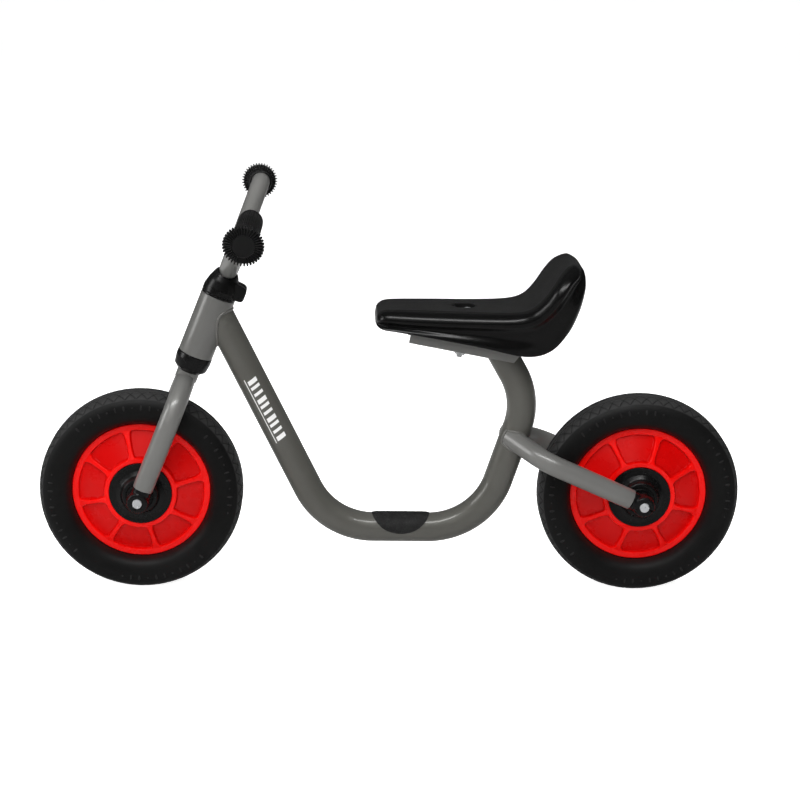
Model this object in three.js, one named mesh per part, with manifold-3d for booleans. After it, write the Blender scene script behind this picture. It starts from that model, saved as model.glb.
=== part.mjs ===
// Child's balance bike: a bent-tube frame on two solid-tyred wheels, a steered fork and a moulded saddle.
// Millimetres. +X is forward, +Y is the rider's left, +Z is up. The origin lies on the ground,
// midway between the two axles, on the centre plane.
import * as THREE from 'three';
import { mergeVertices } from 'three/addons/utils/BufferGeometryUtils.js';
import Module from 'manifold-3d';

const wasm = await Module();
wasm.setup();

// ---------------------------------------------------------------- driving dimensions
const WHEELBASE = 542.5;
const GAP = 0.3; // clearance between pieces that touch

const TYRE = { diameter: 220, width: 47, shoulderRadius: 16, bulgeRadius: 13, beadWidth: 14 };
const RIM = {
  radius: 74.7,
  halfWidth: 9.3, // at the lip
  channelRadius: 70,
  lipThickness: 2,
  lipRing: 6.2,
  wall: 3,
  webDepth: 4.7, // how far the webs lie below the lip and the hub ring
  draft: 2,
  hubRing: 4.7,
  hubHalfWidth: 20.3,
  ribs: 8,
  ribWidth: 4.2,
};
const BEARING = { outerRadius: 13, width: 8, spacing: 11 };
const HUB_CAP = { edgeRadius: 33.7, edgeHeight: 21.5, bossRadius: 21, bossHeight: 31.3, wall: 2.6 };
const AXLE = { radius: 5, length: 116.4, sleeveWall: 1.7 };
const FRONT_RIB_TURN = 13; // degrees
const REAR_RIB_TURN = 28;

const SMALL_TUBE = { radius: 11, wall: 2 }; // fork legs and rear stays
const LEG_SPREAD = 46; // each leg's and stay's distance from the centre plane
const LEG_END = 14.5; // where the legs and stays stop short of the axle
const PLUG = { ballRadius: 12.6, halfWidth: 11, neckRadius: 10.2, spigotLength: 20, slot: 0.9 };

const STEERING_TILT = 21.4; // degrees back from the vertical, through the front axle
const AXLE_HEIGHT = TYRE.diameter / 2;
const FORK_CROWN = AXLE_HEIGHT + SMALL_TUBE.radius + 10; // axle to the crown's centreline, along the steering axis
const STEERER = { radius: 12, wall: 2, top: FORK_CROWN + 118, foot: 4.5 }; // foot: how far it wraps the crown
const HEAD_TUBE = { radius: 18.75, wall: 2, bottom: FORK_CROWN + 32, top: FORK_CROWN + 100 };
const BUSHING = { spigotLength: 15, cupBottom: FORK_CROWN + 12, cupOverhang: 0.4, cupRound: 9, flange: 2.1 };

const BAR = {
  radius: 10,
  wall: 2,
  halfWidth: 200,
  apex: FORK_CROWN + 125,
  armAngle: 51.5,
  endHeight: FORK_CROWN + 198.8,
  droop: 8.7,
};
const BAR_BEND = { bottom: 24, outer: 30 };
const STEM = { radius: 9.6, bottom: FORK_CROWN + 59 };
const GRIP = { radius: 12.5, length: 77, flangeRadius: 20.3, flangeWidth: 6, endWall: 3 };
const CLAMP = {
  top: FORK_CROWN + 129,
  overhang: 0.2, // past the head tube
  lugReach: 26.3,
  lugHalfWidth: 10,
  lugBottom: FORK_CROWN + 103.5,
  lugTop: FORK_CROWN + 119.5,
  lugCorner: 4,
  slot: 1.6,
};
const CLAMP_BOLT = {
  radius: 3,
  headRadius: 5,
  headHeight: 5,
  socketRadius: 2.6,
  socketDepth: 3,
  reach: 19.8,
  height: FORK_CROWN + 111.5,
};
const CLAMP_NUT = { across: 10, thickness: 3.2, middle: 2 };

const MAIN_TUBE = { radius: 16, wall: 2, bottom: AXLE_HEIGHT - 43.1, frontBend: 80, rearBend: 80, topBend: 75 };
const DOWN_TUBE = { lean: 26.55, headHeight: FORK_CROWN + 87.9 }; // degrees from the vertical; place along the head tube
const RISER = {
  x: AXLE_HEIGHT + MAIN_TUBE.radius + 22.95 - WHEELBASE / 2, // far enough ahead to clear the rear tyre
  z: AXLE_HEIGHT + 27.3,
  lean: 17.7,
  topLean: 30,
  topZ: AXLE_HEIGHT + 104.5,
  topLength: 75,
};
const STAY = { startX: RISER.x - 10.7, startSpread: 2, splay: 46, splayStart: MAIN_TUBE.radius - 7, bend: 40 };

const BRACKET = {
  length: 121,
  width: 2 * MAIN_TUBE.radius + 8, // the main tube's top fits between its flanges
  height: 13,
  sheet: 3,
  tilt: 10.5,
  frontX: RISER.x + 103.8,
  frontZ: AXLE_HEIGHT + 183,
};
const SEAT_BOLT = { x: RISER.x + 47.3, radius: 3, headRadius: 7, headHeight: 4, recessDepth: 6, below: 3.5 };
const SEAT_NUT = { acrossFlats: 10, height: 14, washerRadius: 7, washer: 1.5 };
const PAD = { overhang: 1.5, halfAngle: 100, thickness: 1.2 }; // overhang past the tube's straight bottom run

// How many flat sides stand in for each kind of round.
const SIDES = { wheel: 32, ring: 20, tube: 16, bore: 8, small: 16 };

// ---------------------------------------------------------------- shape helpers
const radians = THREE.MathUtils.degToRad;

/** Welds a geometry into a closed solid whose faces point out. */
function solid(geometry) {
  geometry.deleteAttribute('normal');
  geometry.deleteAttribute('uv');
  const welded = mergeVertices(geometry, 1e-4);
  const corners = welded.index.array;
  const kept = [];
  for (let i = 0; i < corners.length; i += 3) {
    const [a, b, c] = corners.slice(i, i + 3);
    if (a !== b && b !== c && c !== a) kept.push(a, b, c);
  }
  const build = (triangles) => new wasm.Manifold(new wasm.Mesh({
    numProp: 3,
    vertProperties: new Float32Array(welded.attributes.position.array),
    triVerts: new Uint32Array(triangles),
  }));
  const first = build(kept);
  return first.volume() > 0 ? first : build(kept.reverse());
}

/** Turns a solid back into a geometry. */
function geometryOf(manifold) {
  const { vertProperties, triVerts } = manifold.getMesh();
  const geometry = new THREE.BufferGeometry();
  geometry.setAttribute('position', new THREE.BufferAttribute(vertProperties, 3));
  geometry.setIndex(new THREE.BufferAttribute(triVerts, 1));
  geometry.computeVertexNormals();
  return geometry;
}

/** Spins [radius, height] points about the Y axis; a ring's outline is closed on itself. */
function turned(points, segments, closed = true) {
  const outline = points.map(([radius, height]) => new THREE.Vector2(radius, height));
  if (closed) outline.push(outline[0].clone());
  return new THREE.LatheGeometry(outline, segments);
}

/** A turned solid that stands along Z instead of Y. */
function turnedUpright(points, segments, closed = true) {
  return turned(points, segments, closed).rotateX(Math.PI / 2);
}

/** Points on an arc from one angle to another, in degrees, as [first, second] coordinates. */
function arc(centreA, centreB, radius, from, to, steps) {
  return Array.from({ length: steps + 1 }, (_, i) => {
    const angle = radians(from + ((to - from) * i) / steps);
    return [centreA + radius * Math.cos(angle), centreB + radius * Math.sin(angle)];
  });
}

/** An outline on one side of y = 0, followed by its own mirror image. */
function mirrored(points) {
  const other = points.map(([radius, y]) => [radius, -y]).reverse();
  return [...points, ...other.filter(([, y]) => y !== 0)];
}

/** A cylinder along Y between two ends. */
function pinAlongY(radius, from, to, segments = SIDES.small) {
  return new THREE.CylinderGeometry(radius, radius, to - from, segments).translate(0, (from + to) / 2, 0);
}

/** A cylinder along Z between two ends. */
function pinAlongZ(radius, from, to, segments = SIDES.small) {
  return new THREE.CylinderGeometry(radius, radius, to - from, segments)
    .rotateX(Math.PI / 2)
    .translate(0, 0, (from + to) / 2);
}

/** A path of straight runs joined by round bends, with its stations only where it turns. */
class BentPath extends THREE.Curve {
  constructor(corners, bendRadii, bendSteps = 6) {
    super();
    this.stations = [];
    this.directions = [];
    this.bends = [];
    const along = (from, to) => to.clone().sub(from).normalize();
    const add = (point, direction) => {
      this.stations.push(point);
      this.directions.push(direction);
    };
    add(corners[0], along(corners[0], corners[1]));
    for (let i = 1; i < corners.length - 1; i += 1) {
      const before = along(corners[i - 1], corners[i]);
      const after = along(corners[i], corners[i + 1]);
      const turn = before.angleTo(after);
      const axis = before.clone().cross(after).normalize();
      const start = corners[i].clone().addScaledVector(before, -bendRadii[i - 1] * Math.tan(turn / 2));
      const centre = start.clone().addScaledVector(axis.clone().cross(before), bendRadii[i - 1]);
      for (let step = 0; step <= bendSteps; step += 1) {
        const angle = (turn * step) / bendSteps;
        const point = start.clone().sub(centre).applyAxisAngle(axis, angle).add(centre);
        add(point, before.clone().applyAxisAngle(axis, angle));
      }
      this.bends.push({ start, end: this.stations.at(-1) });
    }
    add(corners.at(-1), along(corners.at(-2), corners.at(-1)));
  }

  get steps() {
    return this.stations.length - 1;
  }

  getPoint(t, target = new THREE.Vector3()) {
    const place = Math.min(t, 1) * this.steps;
    const index = Math.min(Math.floor(place), this.steps - 1);
    return target.lerpVectors(this.stations[index], this.stations[index + 1], place - index);
  }

  getPointAt(u, target) {
    return this.getPoint(u, target);
  }

  getSpacedPoints(divisions) {
    return this.getPoints(divisions);
  }

  getTangentAt(u, target = new THREE.Vector3()) {
    return target.copy(this.directions[Math.round(u * this.steps)]);
  }
}

/** A solid round bar along a path. */
function barAlong(path, radius, sides = SIDES.tube) {
  const section = new THREE.Shape().absarc(0, 0, radius, 0, 2 * Math.PI);
  const options = { steps: path.steps, curveSegments: sides / 2, bevelEnabled: false, extrudePath: path };
  return solid(new THREE.ExtrudeGeometry(section, options));
}

/** An open-ended tube along a path given by its corners; the flats of its bore lie on the wall's inner face. */
function tubeAlong(corners, bendRadii, radius, wall) {
  const overrun = 2;
  const longer = corners.map((corner) => corner.clone());
  longer[0].addScaledVector(corners[0].clone().sub(corners[1]).normalize(), overrun);
  longer.at(-1).addScaledVector(corners.at(-1).clone().sub(corners.at(-2)).normalize(), overrun);
  const bore = barAlong(new BentPath(longer, bendRadii), (radius - wall) / Math.cos(Math.PI / SIDES.bore), SIDES.bore);
  return barAlong(new BentPath(corners, bendRadii), radius).subtract(bore);
}

/** A straight tube along Z. */
function straightTube(radius, wall, from, to) {
  return solid(turnedUpright([[radius - wall, from], [radius, from], [radius, to], [radius - wall, to]], SIDES.ring));
}

/** A hexagonal prism along Z, with a bore through it. */
function hexNut(acrossFlats, height, boreRadius) {
  const outer = solid(new THREE.CylinderGeometry(acrossFlats / Math.sqrt(3), acrossFlats / Math.sqrt(3), height, 6)
    .rotateX(Math.PI / 2));
  return outer.subtract(solid(pinAlongZ(boreRadius, -height, height)));
}

function namedMesh(name, manifold, finish) {
  const mesh = new THREE.Mesh(geometryOf(manifold), finish.clone());
  mesh.name = name;
  return mesh;
}

// ---------------------------------------------------------------- finishes
const finish = (color, roughness, metalness) => new THREE.MeshStandardMaterial({ color, roughness, metalness });
const GREY_PAINT = finish('#77776f', 0.35, 0.4);
const SILVER_PAINT = finish('#96968f', 0.35, 0.45);
const RED_PLASTIC = finish('#e8150f', 0.25, 0);
const BLACK_PLASTIC = finish('#161616', 0.35, 0);
const BLACK_RUBBER = finish('#1d1d1d', 0.75, 0);
const GRIT = finish('#101010', 0.95, 0);
const ZINC = finish('#b9bcbe', 0.3, 0.9);
const BEARING_STEEL = finish('#a8abad', 0.25, 1);
const SADDLE_SKIN = finish('#141414', 0.3, 0);

// ---------------------------------------------------------------- wheel
function tyreSolid() {
  const outer = TYRE.diameter / 2;
  const half = TYRE.width / 2;
  const shoulder = TYRE.shoulderRadius;
  const seat = RIM.radius + GAP;
  const bead = TYRE.beadWidth / 2;
  const bulge = TYRE.bulgeRadius;
  return solid(turned(mirrored([
    [RIM.channelRadius + GAP, 0],
    [RIM.channelRadius + GAP, bead],
    [seat, bead],
    [seat, half - bulge],
    ...arc(seat + bulge, half - bulge, bulge, 180, 90, 3).slice(1),
    ...arc(outer - shoulder, half - shoulder, shoulder, 90, 0, 3),
    [outer, 0],
  ]), SIDES.wheel));
}

/** Half the distance between the faces that the hub caps sit on. */
const HUB_FLOOR = BEARING.spacing / 2 + BEARING.width + 0.5;

/** One half of the rim: a dished web with ribs on its face, and a barrel for the bearing. */
function rimHalfSolid(side, ribTurn) {
  const joint = GAP / 2;
  const bearingSeat = BEARING.outerRadius + GAP;
  const barrel = bearingSeat + RIM.wall;
  const lip = RIM.halfWidth;
  const ringInside = HUB_CAP.edgeRadius + GAP;
  const ringOutside = ringInside + RIM.hubRing;
  const lipInside = RIM.radius - RIM.lipRing;
  const webAtHub = RIM.hubHalfWidth - RIM.webDepth;
  const webAtLip = RIM.halfWidth - RIM.webDepth;
  const body = solid(turned([
    [bearingSeat, joint],
    [bearingSeat, HUB_FLOOR],
    [ringInside, HUB_FLOOR],
    [ringInside, RIM.hubHalfWidth],
    [ringOutside, RIM.hubHalfWidth],
    [ringOutside + RIM.draft, webAtHub],
    [lipInside - RIM.draft, webAtLip],
    [lipInside, lip],
    [RIM.radius, lip],
    [RIM.radius, lip - RIM.lipThickness],
    [RIM.channelRadius, lip - RIM.lipThickness],
    [RIM.channelRadius, joint],
    [RIM.channelRadius - RIM.wall, joint],
    [ringOutside, webAtHub - RIM.wall],
    [barrel, HUB_FLOOR - RIM.wall],
    [barrel, joint],
  ].map(([radius, y]) => [radius, side * y]), SIDES.wheel));
  const sunk = 1; // how far a rib's foot goes into the web
  const inner = ringOutside - 1;
  const outer = lipInside + 1;
  const ribOutline = new THREE.Shape([
    new THREE.Vector2(inner, side * (RIM.hubHalfWidth - 0.3)),
    new THREE.Vector2(outer, side * (lip - 0.3)),
    new THREE.Vector2(outer, side * (webAtLip - sunk)),
    new THREE.Vector2(inner, side * (webAtHub - sunk)),
  ]);
  const ribs = Array.from({ length: RIM.ribs }, (_, i) => solid(
    new THREE.ExtrudeGeometry(ribOutline, { depth: RIM.ribWidth, bevelEnabled: false })
      .translate(0, 0, -RIM.ribWidth / 2)
      .rotateY((2 * Math.PI * i) / RIM.ribs + radians(180 + ribTurn)),
  ));
  return ribs.reduce((sum, rib) => sum.add(rib), body);
}

function hubCapSolid(side) {
  const seat = HUB_FLOOR + GAP;
  const hole = AXLE.radius + GAP + AXLE.sleeveWall + GAP;
  const { edgeRadius: edge, edgeHeight: rise, bossRadius: boss, bossHeight: top, wall } = HUB_CAP;
  const outline = [
    [hole, top],
    [boss - 4, top],
    [boss - 1.2, top - 1.7],
    [boss, top - 4.5],
    [boss + 2, rise - 2],
    [edge - 5, rise - 3],
    [edge, rise],
    [edge - 2.2, seat],
    [boss - wall, seat],
    [boss - wall, top - wall],
    [hole, top - wall],
  ];
  return solid(turned(outline.map(([radius, y]) => [radius, side * y]), SIDES.ring));
}

function bearingSolid() {
  const inside = BEARING.spacing / 2;
  const outside = inside + BEARING.width;
  const bore = AXLE.radius + GAP;
  const chamfer = 0.7;
  return solid(turned([
    [bore, inside],
    [BEARING.outerRadius, inside],
    [BEARING.outerRadius, outside - chamfer],
    [BEARING.outerRadius - chamfer, outside],
    [bore, outside],
  ], SIDES.ring));
}

/** A sleeve on the axle between two places along Y. */
function sleeveSolid(from, to) {
  const bore = AXLE.radius + GAP;
  const outside = bore + AXLE.sleeveWall;
  return solid(turned([[bore, from], [outside, from], [outside, to], [bore, to]], SIDES.small));
}

function wheel(prefix, ribTurn) {
  const group = new THREE.Group();
  group.add(namedMesh(`${prefix}_tyre`, tyreSolid(), BLACK_RUBBER));
  for (const [hand, side] of [['left', 1], ['right', -1]]) {
    group.add(namedMesh(`${prefix}_rim_${hand}`, rimHalfSolid(side, ribTurn), RED_PLASTIC));
    group.add(namedMesh(`${prefix}_hub_cap_${hand}`, hubCapSolid(side), BLACK_PLASTIC));
    const bearing = namedMesh(`${prefix}_bearing_${hand}`, bearingSolid(), BEARING_STEEL);
    bearing.rotation.x = side > 0 ? 0 : Math.PI;
    group.add(bearing);
  }
  return group;
}

// ---------------------------------------------------------------- axle and its mounting in the tube ends
function axleSolid() {
  const end = AXLE.length / 2;
  const chamfer = 0.6;
  return solid(turned([
    [0, -end],
    [AXLE.radius - chamfer, -end],
    [AXLE.radius, chamfer - end],
    [AXLE.radius, end - chamfer],
    [AXLE.radius - chamfer, end],
    [0, end],
  ], SIDES.small, false));
}

/** The knuckle that plugs into a tube end and grips the axle; the tube runs up local Z. */
function plugSolid() {
  const { ballRadius, halfWidth, neckRadius, spigotLength, slot } = PLUG;
  const slab = solid(new THREE.BoxGeometry(4 * ballRadius, 2 * halfWidth, 4 * ballRadius));
  const ball = solid(new THREE.SphereGeometry(ballRadius, SIDES.small, SIDES.small / 2)).intersect(slab);
  const shoulder = LEG_END - GAP;
  const spigotRadius = SMALL_TUBE.radius - SMALL_TUBE.wall - GAP;
  const body = solid(turnedUpright([
    [0, 0],
    [neckRadius, 0],
    [neckRadius, shoulder],
    [spigotRadius, shoulder],
    [spigotRadius, LEG_END + spigotLength - 1],
    [spigotRadius - 1, LEG_END + spigotLength],
    [0, LEG_END + spigotLength],
  ], SIDES.small, false));
  const bore = solid(pinAlongY(AXLE.radius + GAP, -2 * halfWidth, 2 * halfWidth));
  const cut = solid(new THREE.BoxGeometry(slot, 4 * halfWidth, 2 * ballRadius).translate(0, 0, -ballRadius));
  return ball.add(body).subtract(bore).subtract(cut);
}

/** The fixed pieces of one wheel mounting: axle, sleeves and plugs, with the tubes leaving along local Z. */
function axleSet(prefix) {
  const group = new THREE.Group();
  const bearingOutside = BEARING.spacing / 2 + BEARING.width;
  group.add(namedMesh(`${prefix}_axle`, axleSolid(), ZINC));
  const middle = BEARING.spacing / 2 - GAP;
  group.add(namedMesh(`${prefix}_bearing_spacer`, sleeveSolid(-middle, middle), ZINC));
  for (const [hand, side] of [['left', 1], ['right', -1]]) {
    const ends = [side * (bearingOutside + GAP), side * (LEG_SPREAD - PLUG.halfWidth - GAP)];
    const sleeve = sleeveSolid(Math.min(...ends), Math.max(...ends));
    group.add(namedMesh(`${prefix}_axle_sleeve_${hand}`, sleeve, ZINC));
    const plug = namedMesh(`${prefix}_axle_plug_${hand}`, plugSolid(), BLACK_PLASTIC);
    plug.position.y = side * LEG_SPREAD;
    group.add(plug);
  }
  return group;
}

// ---------------------------------------------------------------- steering assembly, in the steering frame
// Local Z runs up the steering axis from the front axle, local X points ahead of it.
const at = (y, z, x = 0) => new THREE.Vector3(x, y, z);

const FORK_CORNERS = [at(LEG_SPREAD, LEG_END), at(LEG_SPREAD, FORK_CROWN), at(-LEG_SPREAD, FORK_CROWN),
  at(-LEG_SPREAD, LEG_END)];
const FORK_BENDS = [LEG_SPREAD - 0.5, LEG_SPREAD - 0.5];

function barCorners(endShortfall) {
  const arm = radians(BAR.armAngle);
  const fall = Math.tan(radians(BAR.droop));
  const outerY = (BAR.endHeight + BAR.halfWidth * fall - BAR.apex) / (1 / Math.tan(arm) + fall);
  const outerZ = BAR.apex + outerY / Math.tan(arm);
  const end = BAR.halfWidth - endShortfall;
  const endZ = BAR.endHeight + endShortfall * fall;
  return [at(end, endZ), at(outerY, outerZ), at(0, BAR.apex), at(-outerY, outerZ), at(-end, endZ)];
}
const BAR_BENDS = [BAR_BEND.outer, BAR_BEND.bottom, BAR_BEND.outer];

function steererSolid() {
  const crownTop = FORK_CROWN + SMALL_TUBE.radius;
  const tube = straightTube(STEERER.radius, STEERER.wall, crownTop - STEERER.foot, STEERER.top);
  return tube.subtract(barAlong(new BentPath(FORK_CORNERS, FORK_BENDS), SMALL_TUBE.radius + GAP));
}

function stemSolid() {
  const rod = solid(turnedUpright([
    [0, STEM.bottom],
    [STEM.radius - 1, STEM.bottom],
    [STEM.radius, STEM.bottom + 1],
    [STEM.radius, BAR.apex],
    [0, BAR.apex],
  ], SIDES.small, false));
  return rod.subtract(barAlong(new BentPath(barCorners(0), BAR_BENDS), BAR.radius + GAP));
}

function clampCapSolid() {
  const base = HEAD_TUBE.top + GAP + BUSHING.flange + GAP;
  const radius = HEAD_TUBE.radius + CLAMP.overhang;
  const neck = BAR.radius + 0.9;
  const dome = solid(turnedUpright([
    [0, base],
    [radius, base],
    [radius, base + 5],
    [radius - 0.9, base + 11],
    [radius - 3, base + 17.5],
    [radius - 5.8, base + 23],
    [neck, CLAMP.top],
    [0, CLAMP.top],
  ], SIDES.ring, false));
  const lugLength = CLAMP.lugReach - 2;
  const corner = CLAMP.lugCorner;
  const lugHeight = CLAMP.lugTop - CLAMP.lugBottom;
  const lugOutline = new THREE.Shape([
    new THREE.Vector2(0, 0),
    ...arc(lugLength - corner, corner, corner, -90, 0, 4).map(([x, z]) => new THREE.Vector2(x, z)),
    ...arc(lugLength - corner, lugHeight - corner, corner, 0, 90, 4).map(([x, z]) => new THREE.Vector2(x, z)),
    new THREE.Vector2(0, lugHeight),
  ]);
  const lug = solid(new THREE.ExtrudeGeometry(lugOutline, { depth: 2 * CLAMP.lugHalfWidth, bevelEnabled: false })
    .rotateX(Math.PI / 2)
    .translate(0, CLAMP.lugHalfWidth, 0)
    .rotateZ(Math.PI)
    .translate(-2, 0, CLAMP.lugBottom));
  const steererBore = solid(pinAlongZ(STEERER.radius + GAP, base - 5, STEERER.top + 1, SIDES.ring));
  const stemBore = solid(pinAlongZ(STEM.radius + GAP, base - 5, CLAMP.top + 5));
  const saddle = barAlong(new BentPath(barCorners(0), BAR_BENDS), BAR.radius + GAP);
  const slot = solid(new THREE.BoxGeometry(2 * CLAMP.lugReach, CLAMP.slot, 2 * CLAMP.top)
    .translate(-CLAMP.lugReach - STEERER.radius + 2, 0, 0));
  const { reach, height, radius: boltRadius, headRadius, headHeight } = CLAMP_BOLT;
  const outside = 2 * CLAMP.lugHalfWidth;
  const boltHole = solid(pinAlongY(boltRadius + GAP, -outside, CLAMP.lugHalfWidth - boltRadius).translate(-reach, 0, height));
  const headHole = solid(pinAlongY(headRadius + GAP, -outside, headHeight + GAP - CLAMP.lugHalfWidth)
    .translate(-reach, 0, height));
  const pocket = CLAMP_NUT.across + 2 * GAP;
  const nutPocket = solid(new THREE.BoxGeometry(pocket, 2 * CLAMP_NUT.middle + GAP, pocket)
    .translate(-reach, CLAMP_NUT.middle + GAP / 2, height));
  return [steererBore, stemBore, saddle, slot, boltHole, headHole, nutPocket]
    .reduce((body, cut) => body.subtract(cut), dome.add(lug));
}

function clampBoltSolid() {
  const { reach, height, radius, headRadius, headHeight, socketRadius, socketDepth } = CLAMP_BOLT;
  const side = -CLAMP.lugHalfWidth;
  const tip = CLAMP.lugHalfWidth - radius - 1;
  const bolt = solid(turned([
    [0, side],
    [headRadius, side],
    [headRadius, side + headHeight],
    [radius, side + headHeight],
    [radius, tip],
    [0, tip],
  ], SIDES.small, false));
  const socket = solid(pinAlongY(socketRadius, side - 1, side + socketDepth, 6));
  return bolt.subtract(socket).translate(-reach, 0, height);
}

function clampNutSolid() {
  const { reach, height, radius } = CLAMP_BOLT;
  const { across, thickness, middle } = CLAMP_NUT;
  const plate = solid(new THREE.BoxGeometry(across, thickness, across).translate(0, middle, 0));
  return plate.subtract(solid(pinAlongY(radius + GAP, -across, across))).translate(-reach, 0, height);
}

/** A grip along local Y, with its open end at y = 0 and its flange at the far end. */
function gripSolid() {
  const { radius, length, flangeRadius, flangeWidth, endWall } = GRIP;
  const bore = BAR.radius + GAP;
  return solid(turned([
    [bore, 0],
    [radius - 0.8, 0],
    [radius, 1.2],
    [radius, length - flangeWidth],
    [flangeRadius - 0.8, length - flangeWidth],
    [flangeRadius, length - flangeWidth + 0.8],
    [flangeRadius, length - 1],
    [flangeRadius - 1, length],
    [0, length],
    [0, length - endWall],
    [bore, length - endWall],
    [bore, 0],
  ], SIDES.ring, false));
}

function headBushings() {
  const bore = STEERER.radius + GAP;
  const spigot = HEAD_TUBE.radius - HEAD_TUBE.wall - GAP;
  const cupTop = HEAD_TUBE.bottom - GAP;
  const cupRadius = HEAD_TUBE.radius + BUSHING.cupOverhang;
  const bowl = cupRadius - 0.2;
  const round = BUSHING.cupRound;
  const lower = solid(turnedUpright([
    [bore, BUSHING.cupBottom],
    [cupRadius - (2 * round) / 3, BUSHING.cupBottom],
    ...arc(cupRadius - round, BUSHING.cupBottom + round, round, -60, 0, 3),
    [cupRadius, cupTop - 5],
    [bowl, cupTop],
    [spigot, cupTop],
    [spigot, cupTop + BUSHING.spigotLength],
    [bore, cupTop + BUSHING.spigotLength],
  ], SIDES.ring));
  const flange = HEAD_TUBE.top + GAP;
  const upper = solid(turnedUpright([
    [bore, flange - BUSHING.spigotLength],
    [spigot, flange - BUSHING.spigotLength],
    [spigot, flange],
    [HEAD_TUBE.radius + 0.1, flange],
    [HEAD_TUBE.radius + 0.1, flange + BUSHING.flange],
    [bore, flange + BUSHING.flange],
  ], SIDES.ring));
  return [
    namedMesh('head_bushing_lower', lower, BLACK_PLASTIC),
    namedMesh('head_bushing_upper', upper, BLACK_PLASTIC),
  ];
}

function steeringAssembly() {
  const group = new THREE.Group();
  const fork = tubeAlong(FORK_CORNERS, FORK_BENDS, SMALL_TUBE.radius, SMALL_TUBE.wall);
  group.add(namedMesh('fork_tube', fork, SILVER_PAINT));
  group.add(namedMesh('steerer_tube', steererSolid(), SILVER_PAINT));
  const bar = tubeAlong(barCorners(GRIP.endWall + 1), BAR_BENDS, BAR.radius, BAR.wall);
  group.add(namedMesh('handlebar', bar, SILVER_PAINT));
  group.add(namedMesh('handlebar_stem', stemSolid(), SILVER_PAINT));
  group.add(namedMesh('clamp_cap', clampCapSolid(), BLACK_PLASTIC));
  group.add(namedMesh('clamp_bolt', clampBoltSolid(), ZINC));
  group.add(namedMesh('clamp_nut', clampNutSolid(), ZINC));
  const droop = radians(BAR.droop);
  for (const [hand, side] of [['left', 1], ['right', -1]]) {
    const grip = namedMesh(`grip_${hand}`, gripSolid(), BLACK_RUBBER);
    const inner = GRIP.length;
    grip.position.set(0, side * (BAR.halfWidth - inner * Math.cos(droop)), BAR.endHeight + inner * Math.sin(droop));
    grip.rotation.x = side > 0 ? -droop : Math.PI + droop;
    group.add(grip);
  }
  group.add(axleSet('front'));
  return group;
}

// ---------------------------------------------------------------- frame
const FRONT_AXLE = new THREE.Vector3(WHEELBASE / 2, 0, AXLE_HEIGHT);
const REAR_AXLE = new THREE.Vector3(-WHEELBASE / 2, 0, AXLE_HEIGHT);
const STEERING_AXIS = new THREE.Vector3(0, 0, 1).applyAxisAngle(new THREE.Vector3(0, 1, 0), radians(-STEERING_TILT));

/** A solid in the steering frame, moved to the bike's frame. */
function fromSteeringFrame(manifold) {
  return manifold.rotate([0, -STEERING_TILT, 0]).translate(FRONT_AXLE.toArray());
}

/** Height of the bracket's upper face above a place along the bike. */
function bracketTop(x) {
  return BRACKET.frontZ + (x - BRACKET.frontX) * Math.tan(radians(BRACKET.tilt));
}

function mainTubeCorners() {
  const head = FRONT_AXLE.clone().addScaledVector(STEERING_AXIS, DOWN_TUBE.headHeight);
  const drop = head.z - MAIN_TUBE.bottom;
  const front = new THREE.Vector3(head.x - drop * Math.tan(radians(DOWN_TUBE.lean)), 0, MAIN_TUBE.bottom);
  const riserX = (z) => RISER.x - (z - RISER.z) * Math.tan(radians(RISER.lean));
  const rear = new THREE.Vector3(riserX(MAIN_TUBE.bottom), 0, MAIN_TUBE.bottom);
  const elbow = new THREE.Vector3(riserX(RISER.topZ), 0, RISER.topZ);
  const lean = radians(RISER.topLean);
  const top = elbow.clone().add(new THREE.Vector3(RISER.topLength * Math.sin(lean), 0, RISER.topLength * Math.cos(lean)));
  return [head, front, rear, elbow, top];
}

const MAIN_TUBE_BENDS = [MAIN_TUBE.frontBend, MAIN_TUBE.rearBend, MAIN_TUBE.topBend];

function mainTubePath() {
  return new BentPath(mainTubeCorners(), MAIN_TUBE_BENDS);
}

function mainTubeSolid() {
  const tube = tubeAlong(mainTubeCorners(), MAIN_TUBE_BENDS, MAIN_TUBE.radius, MAIN_TUBE.wall);
  const head = fromSteeringFrame(solid(pinAlongZ(HEAD_TUBE.radius + GAP, HEAD_TUBE.bottom - 60, STEERER.top, SIDES.ring)));
  const above = solid(new THREE.BoxGeometry(200, 100, 100)
    .translate(0, 0, 50 - BRACKET.sheet - GAP)
    .rotateY(radians(-BRACKET.tilt))
    .translate(RISER.x, 0, bracketTop(RISER.x)));
  return tube.subtract(head).subtract(above);
}

/** The rear stay's run, in a frame at the rear axle whose Z axis runs up the stay. */
function staySolid(side) {
  const reach = REAR_AXLE.x - STAY.startX;
  const wall = riserCentre();
  const rise = Math.atan2(wall.z - REAR_AXLE.z, -reach);
  const length = Math.hypot(wall.z - REAR_AXLE.z, reach);
  const splay = radians(STAY.splay);
  const widening = LEG_SPREAD - STAY.startSpread;
  const corner = length + STAY.splayStart - widening / Math.tan(splay);
  const corners = [
    at(side * STAY.startSpread, length + STAY.splayStart),
    at(side * LEG_SPREAD, corner),
    at(side * LEG_SPREAD, LEG_END),
  ];
  const tube = tubeAlong(corners, [STAY.bend], SMALL_TUBE.radius, SMALL_TUBE.wall);
  return tube.rotate([0, 90 - THREE.MathUtils.radToDeg(rise), 0]).translate(REAR_AXLE.toArray());
}

/** The point of the riser's centreline that the stays run towards. */
function riserCentre() {
  const z = RISER.z - (STAY.startX - RISER.x) / Math.tan(radians(RISER.lean));
  return new THREE.Vector3(STAY.startX, 0, z);
}

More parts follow.
